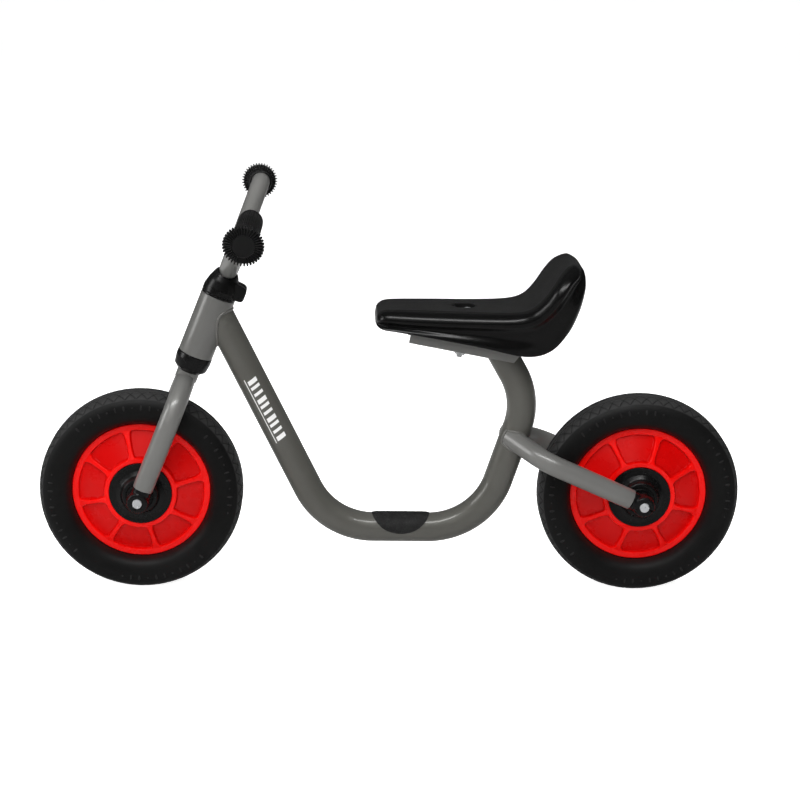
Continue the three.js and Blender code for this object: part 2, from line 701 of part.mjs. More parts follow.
function rearStays() {
  const tubeAndGap = barAlong(mainTubePath(), MAIN_TUBE.radius + GAP);
  return [['left', 1], ['right', -1]].map(([hand, side]) => (
    namedMesh(`rear_stay_${hand}`, staySolid(side).subtract(tubeAndGap), SILVER_PAINT)
  ));
}

/** The folded channel under the saddle, in its own frame: its upper face is z = 0, its front end x = 0. */
function bracketSolid() {
  const { length, width, height, sheet } = BRACKET;
  const plate = solid(new THREE.BoxGeometry(length, width, height).translate(-length / 2, 0, -height / 2));
  const inside = solid(new THREE.BoxGeometry(2 * length, width - 2 * sheet, height)
    .translate(-length / 2, 0, -height / 2 - sheet));
  const hole = solid(pinAlongZ(SEAT_BOLT.radius + GAP, -height, height).translate(seatBoltX(), 0, 0));
  return plate.subtract(inside).subtract(hole);
}

/** Place of the seat bolt along the bracket, from the bracket's front end. */
function seatBoltX() {
  return (SEAT_BOLT.x - BRACKET.frontX) / Math.cos(radians(BRACKET.tilt));
}

/** A grit pad with rounded ends, wrapped over the lowest run of the main tube. */
function padSolid() {
  const slices = 16;
  const bends = mainTubePath().bends;
  const front = bends[0].end.x + PAD.overhang;
  const rear = bends[1].start.x - PAD.overhang;
  const inside = MAIN_TUBE.radius + GAP;
  const outside = inside + PAD.thickness;
  const positions = [];
  const faces = [];
  const last = PAD.halfAngle * 0.985;
  for (let i = 0; i <= slices; i += 1) {
    const degrees = -last + (2 * last * i) / slices;
    const halfLength = ((front - rear) / 2) * Math.sqrt(1 - (degrees / PAD.halfAngle) ** 2);
    const angle = radians(degrees);
    for (const [end, radius] of [[-1, inside], [-1, outside], [1, outside], [1, inside]]) {
      const x = (front + rear) / 2 + end * halfLength;
      positions.push(x, radius * Math.sin(angle), MAIN_TUBE.bottom + radius * Math.cos(angle));
    }
  }
  for (let i = 0; i < slices; i += 1) {
    for (let k = 0; k < 4; k += 1) {
      const a = 4 * i + k;
      const b = 4 * i + ((k + 1) % 4);
      faces.push(a, b, b + 4, a, b + 4, a + 4);
    }
  }
  const end = 4 * slices;
  faces.push(0, 3, 2, 0, 2, 1, end, end + 1, end + 2, end, end + 2, end + 3);
  const geometry = new THREE.BufferGeometry();
  geometry.setAttribute('position', new THREE.Float32BufferAttribute(positions, 3));
  geometry.setIndex(faces);
  return solid(geometry);
}

// ---------------------------------------------------------------- saddle and its fixings
// Pairs of points on the saddle's upper and under side, front to back, with the half width between them.
// They are measured ahead of the riser's middle and above the axles.
const SEAT_LINES = [
  { upper: [142.3, 196], under: [142.8, 192], half: 16 },
  { upper: [137.3, 205], under: [137.3, 188], half: 33 },
  { upper: [122.3, 208], under: [124.3, 187], half: 41 },
  { upper: [82.3, 208], under: [84.3, 180], half: 45 },
  { upper: [32.3, 207.5], under: [30.3, 170], half: 48 },
  { upper: [-5.7, 209.5], under: [-23.7, 160.5], half: 56 },
  { upper: [-21.7, 219], under: [-53.7, 173], half: 65 },
  { upper: [-33.7, 236], under: [-73.7, 204], half: 70 },
  { upper: [-45.7, 252], under: [-81.2, 231], half: 64 },
  { upper: [-58.7, 259], under: [-79.7, 246], half: 50 },
  { upper: [-68.7, 258], under: [-74.7, 254], half: 30 },
];

const SEAT_TOP = 207.5; // height of the seat's flat top above the axles, over the bolt
const SEAT_SHAPE = { rings: 20, squareness: 0.72, narrowing: 0.15 }; // narrowing: of the under side

function seatSolid() {
  const line = (key) => new THREE.SplineCurve(SEAT_LINES.map((entry) => (
    new THREE.Vector2(RISER.x + entry[key][0], AXLE_HEIGHT + entry[key][1]))));
  const widths = new THREE.SplineCurve(SEAT_LINES.map((entry, i) => new THREE.Vector2(i, entry.half)));
  const [upper, under] = [line('upper'), line('under')];
  const { rings, squareness, narrowing } = SEAT_SHAPE;
  const sides = SIDES.ring;
  const rounded = (value) => Math.sign(value) * Math.abs(value) ** squareness;
  const positions = [];
  const faces = [];
  for (let i = 0; i <= rings; i += 1) {
    const t = i / rings;
    const top = upper.getPoint(t);
    const bottom = under.getPoint(t);
    const centre = top.clone().add(bottom).multiplyScalar(0.5);
    const reach = top.clone().sub(centre);
    const half = widths.getPoint(t).y;
    for (let k = 0; k < sides; k += 1) {
      const angle = (2 * Math.PI * k) / sides;
      const lift = rounded(Math.sin(angle));
      const width = half * (1 - narrowing * Math.max(-lift, 0));
      positions.push(centre.x + reach.x * lift, width * rounded(Math.cos(angle)), centre.y + reach.y * lift);
    }
  }
  for (let i = 0; i < rings; i += 1) {
    for (let k = 0; k < sides; k += 1) {
      const a = sides * i + k;
      const b = sides * i + ((k + 1) % sides);
      faces.push(a, b, b + sides, a, b + sides, a + sides);
    }
  }
  for (let k = 1; k < sides - 1; k += 1) {
    const end = sides * rings;
    faces.push(0, k + 1, k, end, end + k, end + k + 1);
  }
  const geometry = new THREE.BufferGeometry();
  geometry.setAttribute('position', new THREE.Float32BufferAttribute(positions, 3));
  geometry.setIndex(faces);
  const restDepth = 40; // of the block that leaves room for the bracket
  const rest = solid(new THREE.BoxGeometry(BRACKET.length + 8, BRACKET.width + 4, restDepth)
    .translate(-BRACKET.length / 2, 0, GAP - restDepth / 2));
  const place = (piece) => piece.rotate([0, -BRACKET.tilt, 0]).translate([BRACKET.frontX, 0, BRACKET.frontZ]);
  const head = seatHeadHeight();
  const hole = solid(pinAlongZ(SEAT_BOLT.radius + GAP, -60, 60).translate(seatBoltX(), 0, 0));
  const recess = solid(pinAlongZ(SEAT_BOLT.headRadius + 1.2, head - GAP, 80, SIDES.ring)
    .scale(1.15, 1, 1)
    .translate(seatBoltX(), 0, 0));
  return [rest, hole, recess].reduce((body, cut) => body.subtract(place(cut)), solid(geometry));
}

/** Height of the seat bolt head's seat above the bracket's upper face. */
function seatHeadHeight() {
  const surface = AXLE_HEIGHT + SEAT_TOP - bracketTop(SEAT_BOLT.x);
  return surface - SEAT_BOLT.recessDepth;
}

function seatBoltSolid() {
  const head = seatHeadHeight();
  const { radius, headRadius, headHeight, below } = SEAT_BOLT;
  const tip = -BRACKET.sheet - SEAT_NUT.washer - SEAT_NUT.height - below;
  return solid(turnedUpright([
    [0, tip],
    [radius - 0.6, tip],
    [radius, tip + 0.6],
    [radius, head],
    [headRadius, head],
    [headRadius, head + 0.8],
    [headRadius * 0.78, head + headHeight * 0.7],
    [headRadius * 0.4, head + headHeight * 0.95],
    [0, head + headHeight],
  ], SIDES.small, false)).translate(seatBoltX(), 0, 0);
}

function saddleAssembly() {
  const group = new THREE.Group();
  group.position.set(BRACKET.frontX, 0, BRACKET.frontZ);
  group.rotation.y = radians(-BRACKET.tilt);
  group.add(namedMesh('seat_bracket', bracketSolid(), SILVER_PAINT));
  group.add(namedMesh('seat_bolt', seatBoltSolid(), ZINC));
  const underSheet = -BRACKET.sheet - GAP;
  const washer = solid(turnedUpright([
    [SEAT_BOLT.radius + GAP, underSheet - SEAT_NUT.washer],
    [SEAT_NUT.washerRadius, underSheet - SEAT_NUT.washer],
    [SEAT_NUT.washerRadius, underSheet],
    [SEAT_BOLT.radius + GAP, underSheet],
  ], SIDES.small)).translate(seatBoltX(), 0, 0);
  group.add(namedMesh('seat_washer', washer, ZINC));
  const nutCentre = underSheet - SEAT_NUT.washer - GAP - SEAT_NUT.height / 2;
  const nut = hexNut(SEAT_NUT.acrossFlats, SEAT_NUT.height, SEAT_BOLT.radius + GAP)
    .translate(seatBoltX(), 0, nutCentre);
  group.add(namedMesh('seat_nut', nut, ZINC));
  return group;
}

// ---------------------------------------------------------------- assembly
const bike = new THREE.Group();

const steering = new THREE.Group();
steering.position.copy(FRONT_AXLE);
steering.rotation.y = radians(-STEERING_TILT);
steering.add(steeringAssembly());
steering.add(namedMesh('head_tube', straightTube(HEAD_TUBE.radius, HEAD_TUBE.wall, HEAD_TUBE.bottom, HEAD_TUBE.top),
  SILVER_PAINT));
steering.add(...headBushings());
bike.add(steering);

const frontWheel = wheel('front', FRONT_RIB_TURN);
frontWheel.position.copy(FRONT_AXLE);
bike.add(frontWheel);

const rearWheel = wheel('rear', REAR_RIB_TURN);
rearWheel.position.copy(REAR_AXLE);
bike.add(rearWheel);

const rearAxle = axleSet('rear');
rearAxle.position.copy(REAR_AXLE);
const stayRise = Math.atan2(riserCentre().z - REAR_AXLE.z, STAY.startX - REAR_AXLE.x);
rearAxle.rotation.y = Math.PI / 2 - stayRise;
bike.add(rearAxle);

bike.add(namedMesh('main_tube', mainTubeSolid(), GREY_PAINT));
bike.add(...rearStays());
bike.add(namedMesh('foot_pad', padSolid(), GRIT));
bike.add(namedMesh('saddle', seatSolid(), SADDLE_SKIN));
bike.add(saddleAssembly());

export default bike;
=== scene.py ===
"""Child's balance bike: the detailed visual build that stands over the CAD frame.

Lengths are in millimetres while a shape is being made and in metres once it is a Blender object. +X is forward,
+Y is the rider's left and +Z is up; the origin is on the ground, midway between the two axles.
"""

import logging
import math
from collections.abc import Callable, Sequence
from dataclasses import dataclass, field
from enum import Enum

import bpy
import numpy as np
from mathutils import Matrix, Vector


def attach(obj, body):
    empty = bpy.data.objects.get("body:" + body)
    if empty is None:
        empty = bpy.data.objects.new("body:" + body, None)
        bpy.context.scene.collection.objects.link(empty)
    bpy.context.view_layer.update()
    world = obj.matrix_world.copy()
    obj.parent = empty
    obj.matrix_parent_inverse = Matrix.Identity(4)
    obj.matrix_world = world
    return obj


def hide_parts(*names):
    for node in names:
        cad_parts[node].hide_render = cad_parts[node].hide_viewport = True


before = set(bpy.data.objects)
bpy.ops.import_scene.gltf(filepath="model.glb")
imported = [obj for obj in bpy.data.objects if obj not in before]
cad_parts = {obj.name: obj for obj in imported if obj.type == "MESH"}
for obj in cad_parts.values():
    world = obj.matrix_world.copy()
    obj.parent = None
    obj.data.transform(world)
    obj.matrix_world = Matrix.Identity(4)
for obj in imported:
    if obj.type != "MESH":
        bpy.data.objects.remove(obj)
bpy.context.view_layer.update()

log = logging.getLogger("balance_bike")

MM = 0.001

# ---------------------------------------------------------------- driving dimensions, as in the CAD frame
WHEELBASE = 542.5
GAP = 0.3
AXLE_HEIGHT = 110.0
STEERING_TILT = 21.4  # degrees back from the vertical
LEG_SPREAD = 46.0
LEG_END = 14.5  # where the fork legs and stays stop short of the axle
SMALL_TUBE = 11.0  # radius of the fork legs and rear stays
TUBE_WALL = 2.0
MAIN_RADIUS = 16.0
HEAD_RADIUS = 18.75
BRACKET_TILT = 10.5
BRACKET_FRONT = (-18.5, 293.0)


class Body(Enum):
    """The CAD bodies that pieces ride on."""

    FRAME = "frame"
    STEERING = "steering"
    FRONT_WHEEL = "front_wheel"
    REAR_WHEEL = "rear_wheel"


class Side(Enum):
    """The two sides of the bike, with the sign of Y on each."""

    LEFT = 1
    RIGHT = -1

    @property
    def word(self) -> str:
        """The side's name in lower case."""
        return self.name.lower()


# ---------------------------------------------------------------- shapes as plain points and faces
@dataclass
class Shell:
    """A mesh before it becomes an object: points in millimetres and faces as tuples of point numbers."""

    points: np.ndarray
    faces: list[tuple[int, ...]]

    def placed(self, matrix: Matrix) -> "Shell":
        """This shell moved by a matrix.

        Args:
            matrix: a 4 by 4 matrix whose move is in millimetres.

        Returns:
            The moved shell, turned inside out again if the matrix mirrors it.
        """
        m = np.array(matrix)
        points = self.points @ m[:3, :3].T + m[:3, 3]
        faces = self.faces if np.linalg.det(m[:3, :3]) > 0 else [face[::-1] for face in self.faces]
        return Shell(points, list(faces))

    def mirrored(self) -> "Shell":
        """This shell on the other side of the centre plane."""
        return self.placed(Matrix.Diagonal((1, -1, 1, 1)))

    def __add__(self, other: "Shell") -> "Shell":
        """Both shells in one, without joining their surfaces."""
        shift = len(self.points)
        moved = [tuple(i + shift for i in face) for face in other.faces]
        return Shell(np.vstack([self.points, other.points]), self.faces + moved)


def grid_faces(rows: int, columns: int, wrap_rows: bool, wrap_columns: bool) -> list[tuple[int, ...]]:
    """Quads over a grid of points kept row by row.

    Args:
        rows: number of rows.
        columns: number of points in a row.
        wrap_rows: whether the last row joins the first.
        wrap_columns: whether each row's last point joins its first.

    Returns:
        The faces.
    """
    faces = []
    for i in range(rows if wrap_rows else rows - 1):
        for k in range(columns if wrap_columns else columns - 1):
            below, beside = (i + 1) % rows, (k + 1) % columns
            faces.append((i * columns + k, i * columns + beside, below * columns + beside, below * columns + k))
    return faces


def arc(centre: tuple[float, float], radius: float, start: float, end: float, steps: int) -> list[tuple[float, float]]:
    """Points on an arc, with angles in degrees."""
    angles = np.radians(np.linspace(start, end, steps + 1))
    return [(centre[0] + radius * math.cos(a), centre[1] + radius * math.sin(a)) for a in angles]


def softened(corners: Sequence[tuple[float, float, float]], steps: int = 4, closed: bool = True) -> list[tuple[float, float]]:
    """An outline whose corners are rounded.

    Args:
        corners: (first, second, radius) of each corner; a radius of 0 keeps it sharp.
        steps: segments in each rounded corner.
        closed: whether the last corner joins the first.

    Returns:
        The outline's points.
    """
    outline: list[tuple[float, float]] = []
    count = len(corners)
    for i, (a, b, radius) in enumerate(corners):
        at_end = not closed and i in (0, count - 1)
        if radius == 0 or at_end:
            outline.append((a, b))
            continue
        here = np.array((a, b))
        back = np.array(corners[i - 1][:2]) - here
        ahead = np.array(corners[(i + 1) % count][:2]) - here
        run_back, run_ahead = np.linalg.norm(back), np.linalg.norm(ahead)
        back, ahead = back / run_back, ahead / run_ahead
        half = math.acos(float(np.clip(np.dot(back, ahead), -1, 1))) / 2
        cut = min(radius / math.tan(half), 0.49 * run_back, 0.49 * run_ahead)
        start, end = here + back * cut, here + ahead * cut
        for step in range(steps + 1):
            t = step / steps
            point = (1 - t) ** 2 * start + 2 * t * (1 - t) * here + t * t * end
            outline.append((float(point[0]), float(point[1])))
    return outline


def spun(outline: Sequence[tuple[float, float]], sides: int = 96, closed: bool = True) -> Shell:
    """A shape turned about the Y axis from (radius, y) points.

    Args:
        outline: the profile; an open one starts and ends on the axis.
        sides: points round the shape.
        closed: whether the profile is a ring of its own.

    Returns:
        The shell.
    """
    profile = list(outline) if closed else list(outline)[1:-1]
    rows = len(profile)
    turn = 2 * np.pi * np.arange(sides) / sides
    radius, height = np.array(profile).T
    points = np.stack([np.outer(radius, np.cos(turn)), np.repeat(height[:, None], sides, 1),
                       -np.outer(radius, np.sin(turn))], axis=-1).reshape(-1, 3)
    faces = grid_faces(rows, sides, closed, True)
    if not closed:
        points = np.vstack([points, (0, outline[0][1], 0), (0, outline[-1][1], 0)])
        first, last, tail = rows * sides, rows * sides + 1, (rows - 1) * sides
        faces += [(first, (k + 1) % sides, k) for k in range(sides)]
        faces += [(last, tail + k, tail + (k + 1) % sides) for k in range(sides)]
    return Shell(points, faces)


UPRIGHT = Matrix.Rotation(math.pi / 2, 4, "X")  # stands a shape that was turned about Y along Z


def sector(outline_at: Callable[[float], list[tuple[float, float]]], copies: int, columns: int) -> Shell:
    """One slice of a shape that repeats round the Y axis.

    Args:
        outline_at: gives the closed (radius, y) outline at a place from -0.5 to 0.5 across the slice.
        copies: how many such slices go round.
        columns: steps across the slice.

    Returns:
        The slice, open at both of its cut sides.
    """
    rows = []
    for place in np.linspace(-0.5, 0.5, columns + 1):
        angle = 2 * np.pi * place / copies
        rows.append([(r * math.cos(angle), y, -r * math.sin(angle)) for r, y in outline_at(float(place))])
    points = np.array(rows)
    return Shell(points.reshape(-1, 3), grid_faces(columns + 1, points.shape[1], False, True))


def box_shell(size: tuple[float, float, float], centre: tuple[float, float, float]) -> Shell:
    """A plain box, used only to cut other shapes."""
    signs = [(x, y, z) for x in (-1, 1) for y in (-1, 1) for z in (-1, 1)]
    points = np.array(signs) * np.array(size) / 2 + np.array(centre)
    return Shell(points, [(0, 1, 3, 2), (4, 6, 7, 5), (0, 4, 5, 1), (2, 3, 7, 6), (0, 2, 6, 4), (1, 5, 7, 3)])


def rod(radius: float, start: Sequence[float], end: Sequence[float], sides: int = 48) -> Shell:
    """A plain round bar between two points, used to cut or to be fused into other shapes."""
    a, b = Vector(start), Vector(end)
    length = (b - a).length
    shape = spun([(0, 0), (radius, 0), (radius, length), (0, length)], sides, closed=False)
    turn = Vector((0, 1, 0)).rotation_difference((b - a).normalized()).to_matrix().to_4x4()
    return shape.placed(Matrix.Translation(a) @ turn)


# ---------------------------------------------------------------- bent tubes
@dataclass(frozen=True)
class BentPath:
    """Straight runs joined by round bends, all in one plane.

    corners are the points where the runs would meet, bends the radius at each inner corner and
    normal the direction square to the plane.
    """

    corners: tuple[tuple[float, float, float], ...]
    bends: tuple[float, ...]
    normal: tuple[float, float, float]
    steps: int = 26
    runs: int = 6

    def stations(self) -> list[tuple[np.ndarray, np.ndarray]]:
        """Points along the centreline, each with its direction."""
        points = [np.array(c, float) for c in self.corners]
        found: list[tuple[np.ndarray, np.ndarray]] = []
        begin = points[0]
        for i in range(1, len(points) - 1):
            before = points[i] - points[i - 1]
            after = points[i + 1] - points[i]
            before, after = before / np.linalg.norm(before), after / np.linalg.norm(after)
            turn = math.acos(float(np.clip(before @ after, -1, 1)))
            radius = self.bends[i - 1]
            start = points[i] - before * radius * math.tan(turn / 2)
            found += [(begin + (start - begin) * k / self.runs, before) for k in range(self.runs)]
            axis = np.cross(before, after)
            axis = axis / np.linalg.norm(axis)
            inward = np.cross(axis, before)
            for k in range(self.steps + 1):
                a = turn * k / self.steps
                found.append((start + radius * (before * math.sin(a) + inward * (1 - math.cos(a))),
                              before * math.cos(a) + inward * math.sin(a)))
            begin = found.pop()[0]
        last = points[-1] - begin
        length = np.linalg.norm(last)
        found += [(begin + last * k / self.runs, last / length) for k in range(self.runs + 1)]
        return found

    def ring(self, station: tuple[np.ndarray, np.ndarray], radius: float, sides: int) -> np.ndarray:
        """A circle of points square to the path at one station."""
        point, direction = station
        across = np.array(self.normal, float)
        other = np.cross(direction, across)
        angle = 2 * np.pi * np.arange(sides) / sides
        return point + radius * (np.outer(np.cos(angle), across) + np.outer(np.sin(angle), other))


Cope = Callable[[np.ndarray, np.ndarray], np.ndarray]


def onto_cylinder(point: Sequence[float], axis: Sequence[float], radius: float) -> Cope:
    """A cope that slides each point along its tube until it meets a cylinder.

    Args:
        point: a point on the cylinder's axis.
        axis: the axis direction.
        radius: the cylinder's radius.

    Returns:
        A function of the ring's points and the direction to slide in.
    """
    centre, along = np.array(point, float), np.array(axis, float)
    along = along / np.linalg.norm(along)

    def slide(ring: np.ndarray, direction: np.ndarray) -> np.ndarray:
        offset = ring - centre
        offset = offset - np.outer(offset @ along, along)
        run = direction - (direction @ along) * along
        a, b = run @ run, offset @ run
        c = np.einsum("ij,ij->i", offset, offset) - radius**2
        reach = (-b - np.sqrt(np.maximum(b * b - a * c, 0))) / a
        return ring + np.outer(reach, direction)

    return slide


def onto_plane(point: Sequence[float], normal: Sequence[float]) -> Cope:
    """A cope that slides each point along its tube until it meets a plane."""
    origin, square = np.array(point, float), np.array(normal, float)

    def slide(ring: np.ndarray, direction: np.ndarray) -> np.ndarray:
        return ring + np.outer(((origin - ring) @ square) / (direction @ square), direction)

    return slide


@dataclass(frozen=True)
class Tube:
    """A round tube along a path, hollow, with softened rims or ends coped to what they meet."""

    path: BentPath
    radius: float
    wall: float = TUBE_WALL
    start_cope: Cope | None = None
    end_cope: Cope | None = None
    sides: int = 64
    rim: float = 0.5

    def end_rings(self, station: tuple[np.ndarray, np.ndarray], inward: float, cope: Cope | None) -> list[np.ndarray]:
        """Rings over the rim at one end, from the outside of the tube to its bore.

        Args:
            station: the end's point and direction.
            inward: 1 where the tube runs on along the direction, -1 where it runs back.
            cope: how the rings are moved to meet another piece, if they are.

        Returns:
            The rings.
        """
        point, direction = station
        inner = self.radius - self.wall
        if cope is not None:
            rings = [self.path.ring(station, r, self.sides) for r in (self.radius, inner)]
            return [cope(ring, -inward * direction) for ring in rings]
        rim = self.rim
        profile = [(rim, self.radius), (0.3 * rim, self.radius - 0.3 * rim), (0, self.radius - rim),
                   (0, inner + rim), (0.3 * rim, inner + 0.3 * rim), (rim, inner)]
        return [self.path.ring((point + inward * direction * along, direction), r, self.sides) for along, r in profile]

    def shell(self) -> Shell:
        """The tube's shell."""
        stations = self.path.stations()
        outside = [self.path.ring(s, self.radius, self.sides) for s in stations[1:-1]]
        inside = [self.path.ring(s, self.radius - self.wall, self.sides) for s in stations[1:-1]]
        start = self.end_rings(stations[0], 1, self.start_cope)
        end = self.end_rings(stations[-1], -1, self.end_cope)
        rings = start[::-1] + outside + end + inside[::-1]
        return Shell(np.vstack(rings), grid_faces(len(rings), self.sides, True, True))

    def mouth(self, at_end: bool = False) -> np.ndarray:
        """The ring of points where the outside of a coped end meets the other piece."""
        stations = self.path.stations()
        station, inward, cope = (stations[-1], -1, self.end_cope) if at_end else (stations[0], 1, self.start_cope)
        return self.end_rings(station, inward, cope)[0]


def bead(loop: np.ndarray, radius: float, ripples: int, sides: int = 10) -> Shell:
    """A weld bead along a closed loop, with the ripples that the torch leaves.

    Args:
        loop: points on the seam, in order.
        radius: half the bead's width.
        ripples: how many ripples go round.
        sides: points round the bead.

    Returns:
        The bead.
    """
    count = 4 * ripples
    seam = np.vstack([loop, loop[:1]])
    reach = np.concatenate([[0], np.cumsum(np.linalg.norm(np.diff(seam, axis=0), axis=1))])
    places = reach[-1] * np.arange(count) / count
    points = np.stack([np.interp(places, reach, seam[:, i]) for i in range(3)], axis=1)
    centre = points.mean(axis=0)
    rows = []
    for i in range(count):
        ahead = points[(i + 1) % count] - points[i - 1]
        ahead = ahead / np.linalg.norm(ahead)
        out = points[i] - centre
        out = out - (out @ ahead) * ahead
        out = out / np.linalg.norm(out)
        other = np.cross(ahead, out)
        phase = 2 * np.pi * i * ripples / count
        size = radius * (1 + 0.07 * math.cos(phase) + 0.05 * math.sin(5 * phase / ripples))
        angle = 2 * np.pi * np.arange(sides) / sides
        rows.append(points[i] + size * (np.outer(np.cos(angle), out) + np.outer(np.sin(angle), other)))
    return Shell(np.vstack(rows), grid_faces(count, sides, True, True))


# ---------------------------------------------------------------- shells into Blender objects
@dataclass
class Workshop:
    """Turns shells into finished pieces and keeps what has been built."""

    pieces: list[bpy.types.Object] = field(default_factory=list)

    def mesh_object(self, name: str, shell: Shell) -> bpy.types.Object:
        """An object at the origin with the shell's shape in metres and its faces outward."""
        mesh = bpy.data.meshes.new(name)
        mesh.from_pydata((shell.points * MM).tolist(), [], shell.faces)
        mesh.validate()
        obj = bpy.data.objects.new(name, mesh)
        bpy.context.scene.collection.objects.link(obj)
        self.face_outward(obj)
        return obj

    @staticmethod
    def face_outward(obj: bpy.types.Object, weld: float = 0.0) -> None:
        """Makes an object's faces point outward, after welding points closer than the given distance in metres."""
        import bmesh

        work = bmesh.new()
        work.from_mesh(obj.data)
        if weld:
            bmesh.ops.remove_doubles(work, verts=work.verts, dist=weld)
        bmesh.ops.recalc_face_normals(work, faces=work.faces)
        work.to_mesh(obj.data)
        work.free()

    @staticmethod
    def baked(obj: bpy.types.Object) -> bpy.types.Object:
        """Replaces an object's mesh by what its modifiers make of it, and removes the modifiers."""
        evaluated = obj.evaluated_get(bpy.context.evaluated_depsgraph_get())
        mesh = bpy.data.meshes.new_from_object(evaluated)
        obj.modifiers.clear()
        old, obj.data = obj.data, mesh
        mesh.name = obj.name
        bpy.data.meshes.remove(old)
        return obj

    def fused(self, name: str, parts: Sequence[Shell], cuts: Sequence[Shell], voxel: float = 0.45,
              smoothing: int = 6) -> Shell:
        """One moulded shape made of several, with soft edges where they meet and where they are cut.

        Args:
            name: a name for the working object.
            parts: closed shells that are joined.
            cuts: closed shells that are taken away.
            voxel: size of the mesh's faces, in millimetres, or 0 to keep the cut faces crisp.
            smoothing: how many times the edges are softened.

        Returns:
            The shape.
        """
        helpers = []
        body = self.mesh_object(name, parts[0])
        for operation, shells in (("UNION", parts[1:]), ("DIFFERENCE", cuts)):
            for i, shell in enumerate(shells):
                helper = self.mesh_object(f"{name}_{operation}_{i}", shell)
                helpers.append(helper)
                cut = body.modifiers.new(helper.name, "BOOLEAN")
                cut.operation = operation
                cut.solver = "EXACT"
                cut.object = helper
        if voxel:
            remesh = body.modifiers.new("remesh", "REMESH")
            remesh.mode = "VOXEL"
            remesh.voxel_size = voxel * MM
            smooth = body.modifiers.new("smooth", "SMOOTH")
            smooth.factor = 0.5
            smooth.iterations = smoothing
        self.baked(body)
        for helper in helpers:
            bpy.data.objects.remove(helper, do_unlink=True)
        return self.taken(body)

    @staticmethod
    def marked(obj: bpy.types.Object, name: str, values: np.ndarray) -> None:
        """Keeps a number from 0 to 1 at each point of a piece, for its material to read."""
        attribute = obj.data.attributes.new(name, "FLOAT", "POINT")
        attribute.data.foreach_set("value", values.astype(np.float32))

    @staticmethod
    def taken(obj: bpy.types.Object) -> Shell:
        """An object's shape as a shell in millimetres; the object is removed."""
        points = np.empty(len(obj.data.vertices) * 3)
        obj.data.vertices.foreach_get("co", points)
        faces = [tuple(p.vertices) for p in obj.data.polygons]
        bpy.data.objects.remove(obj, do_unlink=True)
        return Shell(points.reshape(-1, 3) / MM, faces)

    def scattered(self, name: str, surface: bpy.types.Object, grain: bpy.types.Object, density: float, seed: int,
                  material: bpy.types.Material) -> bpy.types.Object:
        """Copies of a grain strewn over a surface by Geometry Nodes, each turned and sized by chance.

        Args:
            name: the new object's name.
            surface: what the grains lie on.
            grain: the shape that is strewn.
            density: grains per square metre.
            seed: fixes where they fall.
            material: set on the result inside the tree.

        Returns:
            The grains as one object with a plain mesh.
        """
        obj = bpy.data.objects.new(name, bpy.data.meshes.new(name))
        bpy.context.scene.collection.objects.link(obj)
        modifier = obj.modifiers.new("scatter", "NODES")
        modifier.node_group = scatter_tree()
        sockets = {s.name: s.identifier for s in modifier.node_group.interface.items_tree if s.in_out == "INPUT"}
        for label, value in (("Surface", surface), ("Grain", grain), ("Density", density), ("Seed", seed),
                             ("Material", material)):
            modifier[sockets[label]] = value
        return self.baked(obj)

    def repeated(self, name: str, piece: Shell, copies: int, material: bpy.types.Material,
                 first_turn: float = 0.0) -> bpy.types.Object:
        """A slice repeated round the Y axis by Geometry Nodes and welded into one mesh.

        Args:
            name: the finished object's name.
            piece: the slice.
            copies: how many slices go round.
            material: set on the result inside the tree.
            first_turn: where the first slice stands, in degrees.

        Returns:
            The object, with a plain mesh.
        """
        source = self.mesh_object(f"{name}_slice", piece)
        obj = bpy.data.objects.new(name, bpy.data.meshes.new(name))
        bpy.context.scene.collection.objects.link(obj)
        modifier = obj.modifiers.new("repeat", "NODES")
        modifier.node_group = repeat_round_tree()
        sockets = {s.name: s.identifier for s in modifier.node_group.interface.items_tree if s.in_out == "INPUT"}
        modifier[sockets["Slice"]] = source
        modifier[sockets["Copies"]] = copies
        modifier[sockets["First Turn"]] = math.radians(first_turn)
        modifier[sockets["Material"]] = material
        self.baked(obj)
        bpy.data.objects.remove(source, do_unlink=True)
        self.face_outward(obj, weld=0.00001)
        return obj

    def finish(self, obj: bpy.types.Object, finish: "Finish", body: Body, replaces: Sequence[str] = (),
               sharp: float = 35.0) -> bpy.types.Object:
        """Dresses a piece, hangs it on its CAD body and hides the CAD nodes that it replaces.

        Args:
            obj: the piece, in place.
            finish: its material.
            body: the CAD body that it rides on.
            replaces: the CAD nodes that it stands for.
            sharp: edges that turn by more than this many degrees stay crisp.

        Returns:
            The same piece.
        """
        mesh = obj.data
        mesh.materials.clear()
        mesh.materials.append(finish.material())
        mesh.shade_smooth()
        mesh.set_sharp_from_angle(angle=math.radians(sharp))
        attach(obj, body.value)
        if replaces:
            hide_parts(*replaces)
        self.pieces.append(obj)
        log.info("%s: %d faces on %s", obj.name, len(mesh.polygons), body.value)
        return obj

    def add(self, name: str, shell: Shell, finish: "Finish", body: Body, replaces: Sequence[str] = (),
            sharp: float = 35.0) -> bpy.types.Object:
        """Makes and dresses a piece from its shell and hangs it on its body."""
        return self.finish(self.mesh_object(name, shell), finish, body, replaces, sharp)


